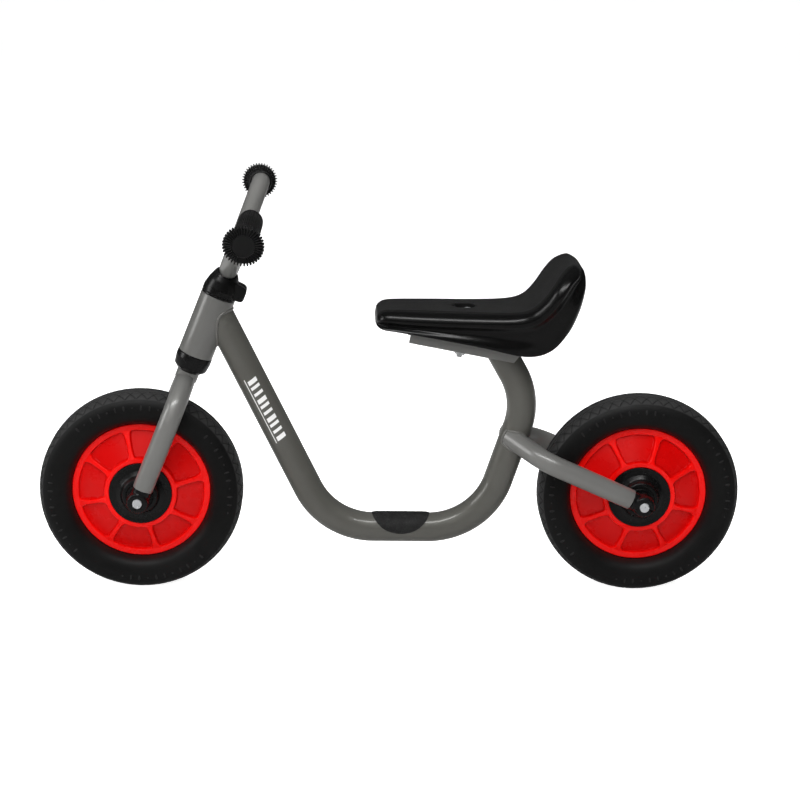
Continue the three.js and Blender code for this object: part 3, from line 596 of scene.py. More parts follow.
def repeat_round_tree() -> bpy.types.NodeTree:
    """The Geometry Nodes tree that copies a slice round the Y axis, built once."""
    name = "repeat_round"
    if name in bpy.data.node_groups:
        return bpy.data.node_groups[name]
    tree = bpy.data.node_groups.new(name, "GeometryNodeTree")
    tree.is_modifier = True
    new = tree.interface.new_socket
    new("Slice", in_out="INPUT", socket_type="NodeSocketObject")
    new("Copies", in_out="INPUT", socket_type="NodeSocketInt")
    new("First Turn", in_out="INPUT", socket_type="NodeSocketFloat")
    new("Material", in_out="INPUT", socket_type="NodeSocketMaterial")
    new("Geometry", in_out="OUTPUT", socket_type="NodeSocketGeometry")
    nodes, link = tree.nodes, tree.links.new
    inputs, outputs = nodes.new("NodeGroupInput"), nodes.new("NodeGroupOutput")
    points = nodes.new("GeometryNodePoints")
    index = nodes.new("GeometryNodeInputIndex")
    info = nodes.new("GeometryNodeObjectInfo")
    step = nodes.new("ShaderNodeMath")
    step.operation = "DIVIDE"
    step.inputs[0].default_value = 2 * math.pi
    turn = nodes.new("ShaderNodeMath")
    turn.operation = "MULTIPLY_ADD"
    rotation = nodes.new("ShaderNodeCombineXYZ")
    instances = nodes.new("GeometryNodeInstanceOnPoints")
    realize = nodes.new("GeometryNodeRealizeInstances")
    dress = nodes.new("GeometryNodeSetMaterial")
    link(inputs.outputs["Copies"], points.inputs["Count"])
    link(inputs.outputs["Copies"], step.inputs[1])
    link(index.outputs[0], turn.inputs[0])
    link(step.outputs[0], turn.inputs[1])
    link(inputs.outputs["First Turn"], turn.inputs[2])
    link(turn.outputs[0], rotation.inputs["Y"])
    link(inputs.outputs["Slice"], info.inputs["Object"])
    link(points.outputs[0], instances.inputs["Points"])
    link(info.outputs["Geometry"], instances.inputs["Instance"])
    link(rotation.outputs[0], instances.inputs["Rotation"])
    link(instances.outputs[0], realize.inputs[0])
    link(realize.outputs[0], dress.inputs["Geometry"])
    link(inputs.outputs["Material"], dress.inputs["Material"])
    link(dress.outputs[0], outputs.inputs[0])
    return tree


def scatter_tree() -> bpy.types.NodeTree:
    """The Geometry Nodes tree that strews grains over a surface, built once."""
    name = "scatter"
    if name in bpy.data.node_groups:
        return bpy.data.node_groups[name]
    tree = bpy.data.node_groups.new(name, "GeometryNodeTree")
    tree.is_modifier = True
    new = tree.interface.new_socket
    new("Surface", in_out="INPUT", socket_type="NodeSocketObject")
    new("Grain", in_out="INPUT", socket_type="NodeSocketObject")
    new("Density", in_out="INPUT", socket_type="NodeSocketFloat")
    new("Seed", in_out="INPUT", socket_type="NodeSocketInt")
    new("Material", in_out="INPUT", socket_type="NodeSocketMaterial")
    new("Geometry", in_out="OUTPUT", socket_type="NodeSocketGeometry")
    nodes, link = tree.nodes, tree.links.new
    inputs, outputs = nodes.new("NodeGroupInput"), nodes.new("NodeGroupOutput")
    surface, grain = nodes.new("GeometryNodeObjectInfo"), nodes.new("GeometryNodeObjectInfo")
    spread = nodes.new("GeometryNodeDistributePointsOnFaces")
    turn, size = nodes.new("FunctionNodeRandomValue"), nodes.new("FunctionNodeRandomValue")
    turn.data_type = "FLOAT_VECTOR"
    turn.inputs[1].default_value = (2 * math.pi,) * 3
    size.data_type = "FLOAT"
    size.inputs[2].default_value = 0.5
    size.inputs[3].default_value = 1.15
    instances = nodes.new("GeometryNodeInstanceOnPoints")
    realize = nodes.new("GeometryNodeRealizeInstances")
    dress = nodes.new("GeometryNodeSetMaterial")
    link(inputs.outputs["Surface"], surface.inputs["Object"])
    link(inputs.outputs["Grain"], grain.inputs["Object"])
    link(surface.outputs["Geometry"], spread.inputs["Mesh"])
    link(inputs.outputs["Density"], spread.inputs["Density"])
    for node in (spread, turn, size):
        link(inputs.outputs["Seed"], node.inputs["Seed"])
    link(spread.outputs["Points"], instances.inputs["Points"])
    link(grain.outputs["Geometry"], instances.inputs["Instance"])
    link(turn.outputs[0], instances.inputs["Rotation"])
    link(size.outputs[1], instances.inputs["Scale"])
    link(instances.outputs[0], realize.inputs[0])
    link(realize.outputs[0], dress.inputs["Geometry"])
    link(inputs.outputs["Material"], dress.inputs["Material"])
    link(dress.outputs[0], outputs.inputs[0])
    return tree


# ---------------------------------------------------------------- shared shader groups
Socket = tuple[str, str, object]


def shader_group(name: str, inputs: Sequence[Socket], outputs: Sequence[Socket]) -> tuple[bpy.types.NodeTree, bool]:
    """A shader node group with the given sockets.

    Args:
        name: the group's name.
        inputs: (name, socket type, default) of each input.
        outputs: the same for each output; their defaults are not used.

    Returns:
        The group, and whether it is new and still has to be filled.
    """
    if name in bpy.data.node_groups:
        return bpy.data.node_groups[name], False
    tree = bpy.data.node_groups.new(name, "ShaderNodeTree")
    for label, kind, default in inputs:
        socket = tree.interface.new_socket(label, in_out="INPUT", socket_type=kind)
        if default is not None:
            socket.default_value = default
    for label, kind, _ in outputs:
        tree.interface.new_socket(label, in_out="OUTPUT", socket_type=kind)
    tree.nodes.new("NodeGroupInput")
    tree.nodes.new("NodeGroupOutput")
    return tree, True


FLOAT, COLOUR, VECTOR = "NodeSocketFloat", "NodeSocketColor", "NodeSocketVector"


def noise(tree: bpy.types.NodeTree, vector: bpy.types.NodeSocket, scale: float | bpy.types.NodeSocket,
          detail: float = 4.0, rough: float = 0.55) -> bpy.types.NodeSocket:
    """A noise texture's value at the given vector."""
    node = tree.nodes.new("ShaderNodeTexNoise")
    node.inputs["Detail"].default_value = detail
    node.inputs["Roughness"].default_value = rough
    tree.links.new(vector, node.inputs["Vector"])
    if isinstance(scale, bpy.types.NodeSocket):
        tree.links.new(scale, node.inputs["Scale"])
    else:
        node.inputs["Scale"].default_value = scale
    return node.outputs["Fac"]


def ranged(tree: bpy.types.NodeTree, value: bpy.types.NodeSocket, low: float, high: float, to_low: float = 0.0,
           to_high: float = 1.0) -> bpy.types.NodeSocket:
    """A value mapped smoothly from one range to another."""
    node = tree.nodes.new("ShaderNodeMapRange")
    node.interpolation_type = "SMOOTHSTEP"
    for socket, number in zip(("From Min", "From Max", "To Min", "To Max"), (low, high, to_low, to_high)):
        node.inputs[socket].default_value = number
    tree.links.new(value, node.inputs["Value"])
    return node.outputs["Result"]


def mixed(tree: bpy.types.NodeTree, amount: bpy.types.NodeSocket, first: object, second: object) -> bpy.types.NodeSocket:
    """Two colours mixed by an amount; each is a colour or a socket."""
    node = tree.nodes.new("ShaderNodeMix")
    node.data_type = "RGBA"
    tree.links.new(amount, node.inputs["Factor"])
    for socket, colour in ((node.inputs[6], first), (node.inputs[7], second)):
        if isinstance(colour, bpy.types.NodeSocket):
            tree.links.new(colour, socket)
        else:
            socket.default_value = (*colour, 1.0)
    return node.outputs[2]


def math_node(tree: bpy.types.NodeTree, operation: str, a: bpy.types.NodeSocket,
              b: float | bpy.types.NodeSocket) -> bpy.types.NodeSocket:
    """One sum on two values."""
    node = tree.nodes.new("ShaderNodeMath")
    node.operation = operation
    tree.links.new(a, node.inputs[0])
    if isinstance(b, bpy.types.NodeSocket):
        tree.links.new(b, node.inputs[1])
    else:
        node.inputs[1].default_value = b
    return node.outputs[0]


def colour_drift_group() -> bpy.types.NodeTree:
    """A colour that wanders between two over the surface: broad clouds with fine specks in them."""
    tree, new = shader_group("colour_drift", [("Vector", VECTOR, None), ("Scale", FLOAT, 20.0),
                                              ("First", COLOUR, None), ("Second", COLOUR, None)],
                             [("Colour", COLOUR, None)])
    if new:
        inputs, outputs = tree.nodes[0], tree.nodes[1]
        broad = noise(tree, inputs.outputs["Vector"], inputs.outputs["Scale"])
        specks = noise(tree, inputs.outputs["Vector"], 2600.0, 2.0)
        blended = math_node(tree, "MULTIPLY_ADD", specks, 0.35)
        tree.links.new(broad, blended.node.inputs[2])
        amount = ranged(tree, blended, 0.45, 0.9)
        tree.links.new(mixed(tree, amount, inputs.outputs["First"], inputs.outputs["Second"]), outputs.inputs["Colour"])
    return tree


def edge_wear_group() -> bpy.types.NodeTree:
    """A mask of the outer edges, broken up so that it isn't even: rubbed wear on most finishes, and a painted highlight
    along the red rims' ribs and lip.
    """
    tree, new = shader_group("edge_wear", [("Vector", VECTOR, None), ("Amount", FLOAT, 0.5)], [("Mask", FLOAT, None)])
    if new:
        inputs, outputs = tree.nodes[0], tree.nodes[1]
        geometry = tree.nodes.new("ShaderNodeNewGeometry")
        edges = ranged(tree, geometry.outputs["Pointiness"], 0.53, 0.62)
        breaks = ranged(tree, noise(tree, inputs.outputs["Vector"], 180.0), 0.42, 0.62)
        worn_and_lit_mask = math_node(tree, "MULTIPLY", edges, breaks)
        tree.links.new(math_node(tree, "MULTIPLY", worn_and_lit_mask, inputs.outputs["Amount"]), outputs.inputs["Mask"])
    return tree


def surface_grain_group() -> bpy.types.NodeTree:
    """A height for a Bump: fine grain of one size over a slow swell."""
    tree, new = shader_group("surface_grain", [("Vector", VECTOR, None), ("Scale", FLOAT, 900.0)],
                             [("Height", FLOAT, None)])
    if new:
        inputs, outputs = tree.nodes[0], tree.nodes[1]
        grain = noise(tree, inputs.outputs["Vector"], inputs.outputs["Scale"], 3.0, 0.5)
        swell = noise(tree, inputs.outputs["Vector"], 60.0, 2.0)
        total = math_node(tree, "MULTIPLY_ADD", swell, 0.6)
        tree.links.new(grain, total.node.inputs[2])
        tree.links.new(total, outputs.inputs["Height"])
    return tree


def smudge_group() -> bpy.types.NodeTree:
    """A roughness that wanders between two values, as fingers and dust leave it."""
    tree, new = shader_group("smudges", [("Vector", VECTOR, None), ("Low", FLOAT, 0.3), ("High", FLOAT, 0.4)],
                             [("Roughness", FLOAT, None)])
    if new:
        inputs, outputs = tree.nodes[0], tree.nodes[1]
        marks = ranged(tree, noise(tree, inputs.outputs["Vector"], 35.0, 6.0, 0.65), 0.35, 0.7)
        mix = tree.nodes.new("ShaderNodeMix")
        tree.links.new(marks, mix.inputs["Factor"])
        tree.links.new(inputs.outputs["Low"], mix.inputs["A"])
        tree.links.new(inputs.outputs["High"], mix.inputs["B"])
        tree.links.new(mix.outputs["Result"], outputs.inputs["Roughness"])
    return tree


@dataclass(frozen=True)
class Finish:
    """One material: a Principled surface whose colour, roughness and bump wander at real scale.

    Colours are linear. grain_scale is in cycles per metre and grain_depth in millimetres. pale_by names a mesh
    attribute that lifts the colour towards pale.
    """

    name: str
    slot: str
    colour: tuple[float, float, float]
    drift: tuple[float, float, float]
    roughness: tuple[float, float]
    metallic: float = 0.0
    coat: float = 0.0
    coat_roughness: float = 0.08
    specular: float = 0.5
    drift_scale: float = 14.0
    grain_scale: float = 900.0
    grain_depth: float = 0.01
    # edge tone and its amount: rubbed wear on most finishes, a painted highlight along the red rims' ribs and lip
    worn: tuple[float, float, float] = (0.3, 0.3, 0.3)
    wear: float = 0.25
    pale: tuple[float, float, float] | None = None
    pale_by: str = ""

    def group(self, tree: bpy.types.NodeTree, group: bpy.types.NodeTree, vector: bpy.types.NodeSocket,
              **values: object) -> bpy.types.Node:
        """A shared group in this material's tree, fed with a vector and constant values."""
        node = tree.nodes.new("ShaderNodeGroup")
        node.node_tree = group
        tree.links.new(vector, node.inputs["Vector"])
        for label, value in values.items():
            node.inputs[label].default_value = value
        return node

    def material(self) -> bpy.types.Material:
        """The Blender material, made the first time it is asked for."""
        label = f"{self.name}_finish"
        if label in bpy.data.materials:
            return bpy.data.materials[label]
        made = bpy.data.materials.new(label)
        made.use_nodes = True
        tree = made.node_tree
        link = tree.links.new
        surface = tree.nodes["Principled BSDF"]
        vector = tree.nodes.new("ShaderNodeTexCoord").outputs["Object"]
        drift = self.group(tree, colour_drift_group(), vector, Scale=self.drift_scale, First=(*self.colour, 1.0),
                           Second=(*self.drift, 1.0))
        wear = self.group(tree, edge_wear_group(), vector, Amount=self.wear)
        smudge = self.group(tree, smudge_group(), vector, Low=self.roughness[0], High=self.roughness[1])
        grain = self.group(tree, surface_grain_group(), vector, Scale=self.grain_scale)
        colour = drift.outputs["Colour"]
        if self.pale is not None:
            mark = tree.nodes.new("ShaderNodeAttribute")
            mark.attribute_name = self.pale_by
            colour = mixed(tree, mark.outputs["Fac"], colour, self.pale)
        link(mixed(tree, wear.outputs["Mask"], colour, self.worn), surface.inputs["Base Color"])
        link(smudge.outputs["Roughness"], surface.inputs["Roughness"])
        bump = tree.nodes.new("ShaderNodeBump")
        bump.inputs["Strength"].default_value = 0.6
        bump.inputs["Distance"].default_value = self.grain_depth * MM
        link(grain.outputs["Height"], bump.inputs["Height"])
        link(bump.outputs["Normal"], surface.inputs["Normal"])
        surface.inputs["Metallic"].default_value = self.metallic
        surface.inputs["Coat Weight"].default_value = self.coat
        surface.inputs["Coat Roughness"].default_value = self.coat_roughness
        surface.inputs["Specular IOR Level"].default_value = self.specular
        return made

    def dress(self, node: str) -> None:
        """Gives this finish to a CAD node that is kept as it is."""
        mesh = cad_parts[node].data
        mesh.materials.clear()
        mesh.materials.append(self.material())


FRAME_PAINT = Finish("frame_paint", "frame_paint", (0.118, 0.116, 0.103), (0.130, 0.128, 0.115), (0.34, 0.40),
                     metallic=0.3, coat=0.7, coat_roughness=0.07, grain_depth=0.012, worn=(0.22, 0.22, 0.2))
# The same frame paint on the head tube, coloured lighter than on the main tube: painted light, for how brightly the
# head tube is lit.
LIT_HEAD_TUBE_PAINT = Finish("head_paint", "frame_paint", (0.165, 0.164, 0.156), (0.18, 0.179, 0.171), (0.34, 0.40),
                    metallic=0.3, coat=0.7, coat_roughness=0.07, grain_depth=0.012, worn=(0.25, 0.25, 0.23))
FORK_PAINT = Finish("fork_paint", "fork_paint", (0.200, 0.199, 0.190), (0.215, 0.214, 0.205), (0.34, 0.40),
                    metallic=0.3, coat=0.7, coat_roughness=0.07, grain_depth=0.012, worn=(0.34, 0.34, 0.32))
# Red rims: the darker red stays on the recessed web and the paler red goes on the ribs, lip and hub ring by the raised
# mark, which is painted shade in the web; the bright edge tone is a painted highlight along the ribs and lip.
RED_PLASTIC = Finish("red_plastic", "red_plastic", (0.56, 0.001, 0.001), (0.62, 0.002, 0.002), (0.26, 0.32),
                     specular=0.22, grain_scale=1500.0, grain_depth=0.004, worn=(0.95, 0.05, 0.035), wear=0.6,
                     pale=(0.84, 0.003, 0.002), pale_by="raised")
BLACK_PLASTIC = Finish("black_plastic", "black_plastic", (0.004, 0.004, 0.004), (0.006, 0.006, 0.006), (0.24, 0.30),
                       grain_scale=1400.0, grain_depth=0.012, worn=(0.05, 0.05, 0.05))
TYRE_RUBBER = Finish("tyre_rubber", "tyre_rubber", (0.0045, 0.0045, 0.0045), (0.0065, 0.0065, 0.0065), (0.46, 0.56), specular=0.3,
                     grain_scale=1100.0, grain_depth=0.03, worn=(0.05, 0.05, 0.05), pale=(0.030, 0.030, 0.030),
                     pale_by="tread")
GRIP_RUBBER = Finish("grip_rubber", "grip_rubber", (0.004, 0.004, 0.004), (0.007, 0.007, 0.007), (0.30, 0.40),
                     grain_scale=1300.0, grain_depth=0.02, worn=(0.05, 0.05, 0.05))
GRIT = Finish("grit", "grit", (0.008, 0.008, 0.008), (0.016, 0.016, 0.016), (0.6, 0.8), grain_scale=2200.0,
              grain_depth=0.06, worn=(0.06, 0.06, 0.06), wear=0.5)
SADDLE_SKIN = Finish("saddle_skin", "saddle_skin", (0.003, 0.003, 0.003), (0.0045, 0.0045, 0.0045), (0.24, 0.27),
                     specular=0.5, grain_scale=2200.0, grain_depth=0.006, worn=(0.03, 0.03, 0.03))
ZINC = Finish("zinc", "zinc", (0.72, 0.73, 0.74), (0.62, 0.63, 0.65), (0.22, 0.34), metallic=0.5,
              grain_scale=1800.0, grain_depth=0.01, worn=(0.75, 0.75, 0.76))
BEARING_STEEL = Finish("bearing_steel", "bearing_steel", (0.55, 0.56, 0.57), (0.5, 0.51, 0.52), (0.14, 0.22),
                       metallic=1.0, grain_depth=0.004, worn=(0.7, 0.7, 0.7))
WELD = Finish("weld_paint", "frame_paint", (0.150, 0.148, 0.138), (0.170, 0.168, 0.156), (0.34, 0.44), metallic=0.3,
              coat=0.7, coat_roughness=0.1, grain_scale=1500.0, grain_depth=0.02)
DECAL_WHITE = Finish("decal_white", "frame_paint", (0.80, 0.80, 0.79), (0.86, 0.86, 0.85), (0.30, 0.38),
                     grain_depth=0.004, worn=(0.6, 0.6, 0.6))


# ---------------------------------------------------------------- places
FRONT_AXLE = Vector((WHEELBASE / 2, 0, AXLE_HEIGHT))
REAR_AXLE = Vector((-WHEELBASE / 2, 0, AXLE_HEIGHT))


def place(origin: Vector, turn: float = 0.0) -> Matrix:
    """A place at an origin, turned about Y by some degrees."""
    return Matrix.Translation(origin) @ Matrix.Rotation(math.radians(turn), 4, "Y")


STEERING_PLACE = place(FRONT_AXLE, -STEERING_TILT)
BRACKET_PLACE = place(Vector((BRACKET_FRONT[0], 0, BRACKET_FRONT[1])), -BRACKET_TILT)
STEERING_AXIS = STEERING_PLACE.to_3x3() @ Vector((0, 0, 1))


def bracket_top(x: float) -> float:
    """Height of the bracket's upper face above a place along the bike."""
    return BRACKET_FRONT[1] + (x - BRACKET_FRONT[0]) * math.tan(math.radians(BRACKET_TILT))


def smooth(value: float) -> float:
    """A soft step from 0 to 1."""
    t = min(max(value, 0.0), 1.0)
    return t * t * (3 - 2 * t)


# ---------------------------------------------------------------- wheels
@dataclass(frozen=True)
class Tyre:
    """A solid tyre with a smooth middle band, two grooves and a criss-cross pattern on each shoulder."""

    outer: float = 110.0
    half_width: float = 23.5
    seat: float = 75.0
    channel: float = 70.3
    bead: float = 7.0
    shoulder: float = 16.0
    blocks: int = 55
    groove: float = 5.2
    groove_depth: float = 1.3
    line_depth: float = 0.9
    line_width: float = 0.075  # in blocks
    band: float = 15.6  # from the groove to the pattern's inner edge
    slant: float = 15.0  # how far across the band a line goes for one block round

    def shoulder_points(self) -> list[tuple[float, float, float, float, float]]:
        """The tread's run from the middle outwards as (radius, y, outward radius, outward y, distance)."""
        flat = self.half_width - self.shoulder
        points = []
        for y in np.linspace(0, flat, 11)[:-1]:
            points.append((self.outer, float(y), 1.0, 0.0, float(y)))
        for angle in np.linspace(0, 90, 28):
            a = math.radians(float(angle))
            points.append((self.outer - self.shoulder + self.shoulder * math.cos(a), flat + self.shoulder * math.sin(a),
                           math.cos(a), math.sin(a), flat + self.shoulder * a))
        return points

    def depth(self, across: float, around: float) -> float:
        """How deep the tread is cut at a distance from the middle and a place round its block."""
        reach = across - self.groove
        groove = self.groove_depth * (1 - smooth(abs(reach) / 0.9))
        lip = 0.35 * (1 - smooth(abs(reach - self.band) / 0.8))
        if not 0 < reach < self.band:
            return groove - lip
        inside = smooth(reach / 1.2) * smooth((self.band - reach) / 1.2)
        cuts = 0.0
        for direction in (1, -1):
            phase = (around + direction * reach / self.slant) % 1.0
            away = min(phase, 1 - phase)
            cuts = max(cuts, 1 - smooth(away / self.line_width))
        return groove - lip + self.line_depth * cuts * inside

    def outline(self, around: float) -> list[tuple[float, float]]:
        """The tyre's section at one place round a block, from -0.5 to 0.5."""
        half = []
        for radius, y, out_r, out_y, across in self.shoulder_points():
            cut = self.depth(across, around + 0.5)
            half.append((radius - cut * out_r, y - cut * out_y))
        half += [(90.0, 23.3), (86.0, 22.3), (82.6, 20.9), (80.0, 19.0), (78.0, 16.6), (76.5, 14.0), (75.4, 11.2),
                 (self.seat, 9.4), (self.seat, self.bead), (self.channel + 0.5, self.bead), (self.channel, 6.2)]
        other = [(r, -y) for r, y in reversed(half[1:])]
        return half + other

    def paleness(self, points: np.ndarray, raised: int) -> np.ndarray:
        """How much of the paler black each point has: most on the tread's face, darker down in its cuts and grooves,
        and some on the side marks.

        Args:
            points: the tyre's points about its own axle, with those of the side marks last.
            raised: how many points the marks have on each side.

        Returns:
            A share from 0 to 1 for each point.
        """
        reach = np.hypot(points[:, 0], points[:, 2])
        turn = np.arctan2(-points[:, 2], points[:, 0]) * self.blocks / (2 * np.pi)
        flat = self.half_width - self.shoulder
        sideways = np.abs(points[:, 1])
        bent = np.arctan2(np.maximum(sideways - flat, 0), np.maximum(reach - self.outer + self.shoulder, 0.001))
        across = np.where(sideways < flat, sideways, flat + self.shoulder * bent)
        edge = self.groove + self.band
        share = np.clip((edge + 0.5 - across), 0, 1) * (reach > self.outer - self.shoulder)
        near = np.flatnonzero(share)
        cut = np.array([self.depth(float(across[i]), float(turn[i]) + 0.5) for i in near])
        share[near] *= 1 - np.clip(cut / (0.7 * self.line_depth), 0, 1)
        share[-2 * raised:] = 0.45
        return share

    def marks(self) -> Shell:
        """A row of raised bars and dots on one side wall, where a maker's words would be."""
        shape = spun([(0, -0.4), (1, -0.4), (0.95, 0.15), (0.7, 0.36), (0, 0.42)], 14, closed=False)
        row = None
        for i in range(11):
            turn = -27.5 + 5.5 * i
            length = 2.9 if i % 3 else 0.9
            width = 0.9 if i % 2 else 1.2
            one = shape.placed(Matrix.Rotation(math.radians(turn), 4, "Y") @ Matrix.Translation((96.6, 23.42, 0))
                               @ Matrix.Diagonal((length, 1, width, 1)))
            row = one if row is None else row + one
        return row


@dataclass(frozen=True)
class RimHalf:
    """One half of a rim: a dished web with ribs on its face, a hub ring and a lip."""

    hub_inside: float = 34.0
    hub_outside: float = 38.7
    hub_height: float = 20.3
    lip_inside: float = 68.5
    lip_height: float = 9.3
    radius: float = 74.7
    web_depth: float = 4.7
    rib_half: float = 2.1
    wall: float = 1.0
    ribs: int = 8

    def rib_top(self, radius: float) -> float:
        """Height of a rib's top at a radius."""
        share = (radius - self.hub_outside) / (self.lip_inside - self.hub_outside)
        return self.hub_height + (self.lip_height - self.hub_height) * min(max(share, 0.0), 1.0)

    def face(self, radius: float, off: float) -> float:
        """Height of the face at a radius and a distance from the nearest rib's middle."""
        top = self.rib_top(radius)
        half = self.rib_half
        half += 4.2 * math.exp(-max(self.lip_inside - radius, 0) / 3.2)
        half += 2.8 * math.exp(-max(radius - self.hub_outside, 0) / 2.2)
        on_rib = smooth((half + self.wall - off) / self.wall)
        on_ring = smooth((self.hub_outside + 1.6 - radius) / 1.6)
        on_lip = smooth((radius - self.lip_inside + 1.8) / 1.8)
        low = 1 - (1 - on_rib) * (1 - on_ring) * (1 - on_lip)
        rounding = 0.35 * (1 - smooth((half - off) / 0.8)) * on_rib * (1 - on_ring) * (1 - on_lip)
        return top - self.web_depth * (1 - low) - rounding

    def outline(self, place_across: float) -> list[tuple[float, float]]:
        """The section at a place across the slice between two ribs' middles."""
        angle = 2 * math.pi * place_across / self.ribs
        radii = np.concatenate([[34.0, 34.25, 34.6], np.linspace(35.2, 38.0, 4), np.linspace(38.4, 41.2, 9),
                                np.linspace(42.2, 65.0, 22), np.linspace(65.8, 69.4, 10), np.linspace(70.2, 73.6, 5),
                                [74.2, 74.55, 74.7]])
        front = []
        for r in radii:
            edge_in = max(0.0, 34.6 - r) / 0.6
            edge_out = max(0.0, r - 74.0) / 0.7
            drop = 0.6 * (1 - math.sqrt(max(0.0, 1 - edge_in**2))) + 0.7 * (1 - math.sqrt(max(0.0, 1 - edge_out**2)))
            front.append((float(r), self.face(float(r), abs(float(r) * math.sin(angle))) - drop))
        back = [(74.7, 7.4), (74.5, 7.3), (70.2, 7.3), (70.0, 7.1), (70.0, 0.15), (67.0, 0.15), (41.0, 12.4),
                (38.7, 12.6), (16.3, 11.0), (16.3, 0.15), (13.3, 0.15), (13.3, 14.0), (33.8, 14.0), (34.0, 14.2)]
        return front + back


@dataclass(frozen=True)
class HubCap:
    """The black domed cover over the hub."""

    hole: float = 7.3
    edge: float = 33.7

    def outline(self) -> list[tuple[float, float]]:
        """The cap's section."""
        return softened([(self.hole, 31.0, 0.4), (12.4, 31.2, 0.7), (12.9, 30.1, 0.3), (14.2, 30.1, 0.3),
                         (14.7, 31.2, 0.7), (18.6, 30.7, 2.4), (21.2, 24.4, 3.5), (26.0, 21.3, 3.0),
                         (29.5, 20.9, 1.0), (self.edge, 21.4, 0.4), (self.edge, 20.4, 0.4), (31.6, 14.3, 0.5),
                         (18.4, 14.3, 0.3), (16.5, 28.6, 0.8), (self.hole, 28.6, 0.2)], 6)


@dataclass
class Wheel:
    """One wheel with everything that turns with it."""

    end: str
    axle: Vector
    body: Body
    rib_turn: float
    tyre: Tyre = Tyre()
    rim: RimHalf = RimHalf()
    cap: HubCap = HubCap()

    def build(self, shop: Workshop) -> None:
        """Builds and dresses the wheel."""
        self.build_tyre(shop)
        spot = place(self.axle)
        for side in Side:
            word = side.word
            sign = side.value
            outline = lambda across, s=sign: [(r, s * y) for r, y in self.rim.outline(across)]
            half = shop.repeated(f"{self.end}_rim_{word}", sector(outline, self.rim.ribs, 60), self.rim.ribs,
                                 RED_PLASTIC.material(), 180 + self.rib_turn)
            self.mark_raised(shop, half, sign)
            half.data.transform(Matrix.Translation(self.axle * MM))
            shop.finish(half, RED_PLASTIC, self.body, [f"{self.end}_rim_{word}"], sharp=50)
            cap = spun([(r, sign * y) for r, y in self.cap.outline()], 128)
            shop.add(f"{self.end}_hub_cap_{word}", cap.placed(spot), BLACK_PLASTIC, self.body,
                     [f"{self.end}_hub_cap_{word}"])
            BEARING_STEEL.dress(f"{self.end}_bearing_{word}")

    def mark_raised(self, shop: Workshop, half: bpy.types.Object, sign: int) -> None:
        """Marks how far each point of a rim half stands above its web, so that the red finish paints shade into the
        web.
        """
        points = np.empty(len(half.data.vertices) * 3)
        half.data.vertices.foreach_get("co", points)
        points = points.reshape(-1, 3) / MM
        reach = np.hypot(points[:, 0], points[:, 2])
        span = self.rim.lip_inside - self.rim.hub_outside
        share = np.clip((reach - self.rim.hub_outside) / span, 0, 1)
        top = self.rim.hub_height + (self.rim.lip_height - self.rim.hub_height) * share
        above = (sign * points[:, 1] - top + self.rim.web_depth) / self.rim.web_depth
        shop.marked(half, "raised", np.clip(1.3 * above - 0.15, 0, 1))

    def build_tyre(self, shop: Workshop) -> None:
        """Builds the tyre from one block repeated round, with its side marks."""
        name = f"{self.end}_tyre"
        block = sector(self.tyre.outline, self.tyre.blocks, 15)
        tread = shop.repeated(name, block, self.tyre.blocks, TYRE_RUBBER.material())
        marks = shop.repeated(f"{name}_marks", self.tyre.marks(), 4, TYRE_RUBBER.material(), 15)
        raised = shop.taken(marks)
        shell = shop.taken(tread) + raised + raised.mirrored()
        tyre = shop.mesh_object(name, shell.placed(place(self.axle)))
        shop.marked(tyre, "tread", self.tyre.paleness(shell.points, len(raised.points)))
        shop.finish(tyre, TYRE_RUBBER, self.body, [name], sharp=60)


# ---------------------------------------------------------------- axle and the knuckles in the tube ends
@dataclass(frozen=True)
class AxleSet:
    """A wheel's axle pin and the two plugs that hold it, with the tubes leaving up local Z."""

    end: str
    body: Body
    spot: Matrix
    half_length: float = 58.2

    @staticmethod
    def plug(shop: Workshop) -> Shell:
        """The knuckle, with the axle's middle at the origin."""
        ball = spun(softened([(0, -11, 0), (10.9, -11, 3.2), (12.6, 0, 7), (10.9, 11, 3.2), (0, 11, 0)], 8,
                             closed=False), 72, closed=False)
        neck = rod(10.2, (0, 0, 0), (0, 0, LEG_END - GAP))
        spigot = rod(8.7, (0, 0, 1), (0, 0, LEG_END + 20))
        bore = rod(5.3, (0, -20, 0), (0, 20, 0))
        split = box_shell((1.1, 40, 26), (0, 0, -13))
        return shop.fused("plug_work", [ball, neck, spigot], [bore, split], 0.42, 4)

    def build(self, shop: Workshop, plug: Shell) -> None:
        """Builds and dresses the axle and its plugs."""
        pin = spun(softened([(0, -self.half_length, 0), (5, -self.half_length, 0.7), (5, self.half_length, 0.7),
                             (0, self.half_length, 0)], 4, closed=False), 48, closed=False)
        shop.add(f"{self.end}_axle", pin.placed(self.spot), ZINC, self.body, [f"{self.end}_axle"])
        ZINC.dress(f"{self.end}_bearing_spacer")
        for side in Side:
            ZINC.dress(f"{self.end}_axle_sleeve_{side.word}")
            moved = plug.placed(self.spot @ Matrix.Translation((0, side.value * LEG_SPREAD, 0)))
            name = f"{self.end}_axle_plug_{side.word}"
            shop.add(name, moved, BLACK_PLASTIC, self.body, [name], sharp=60)


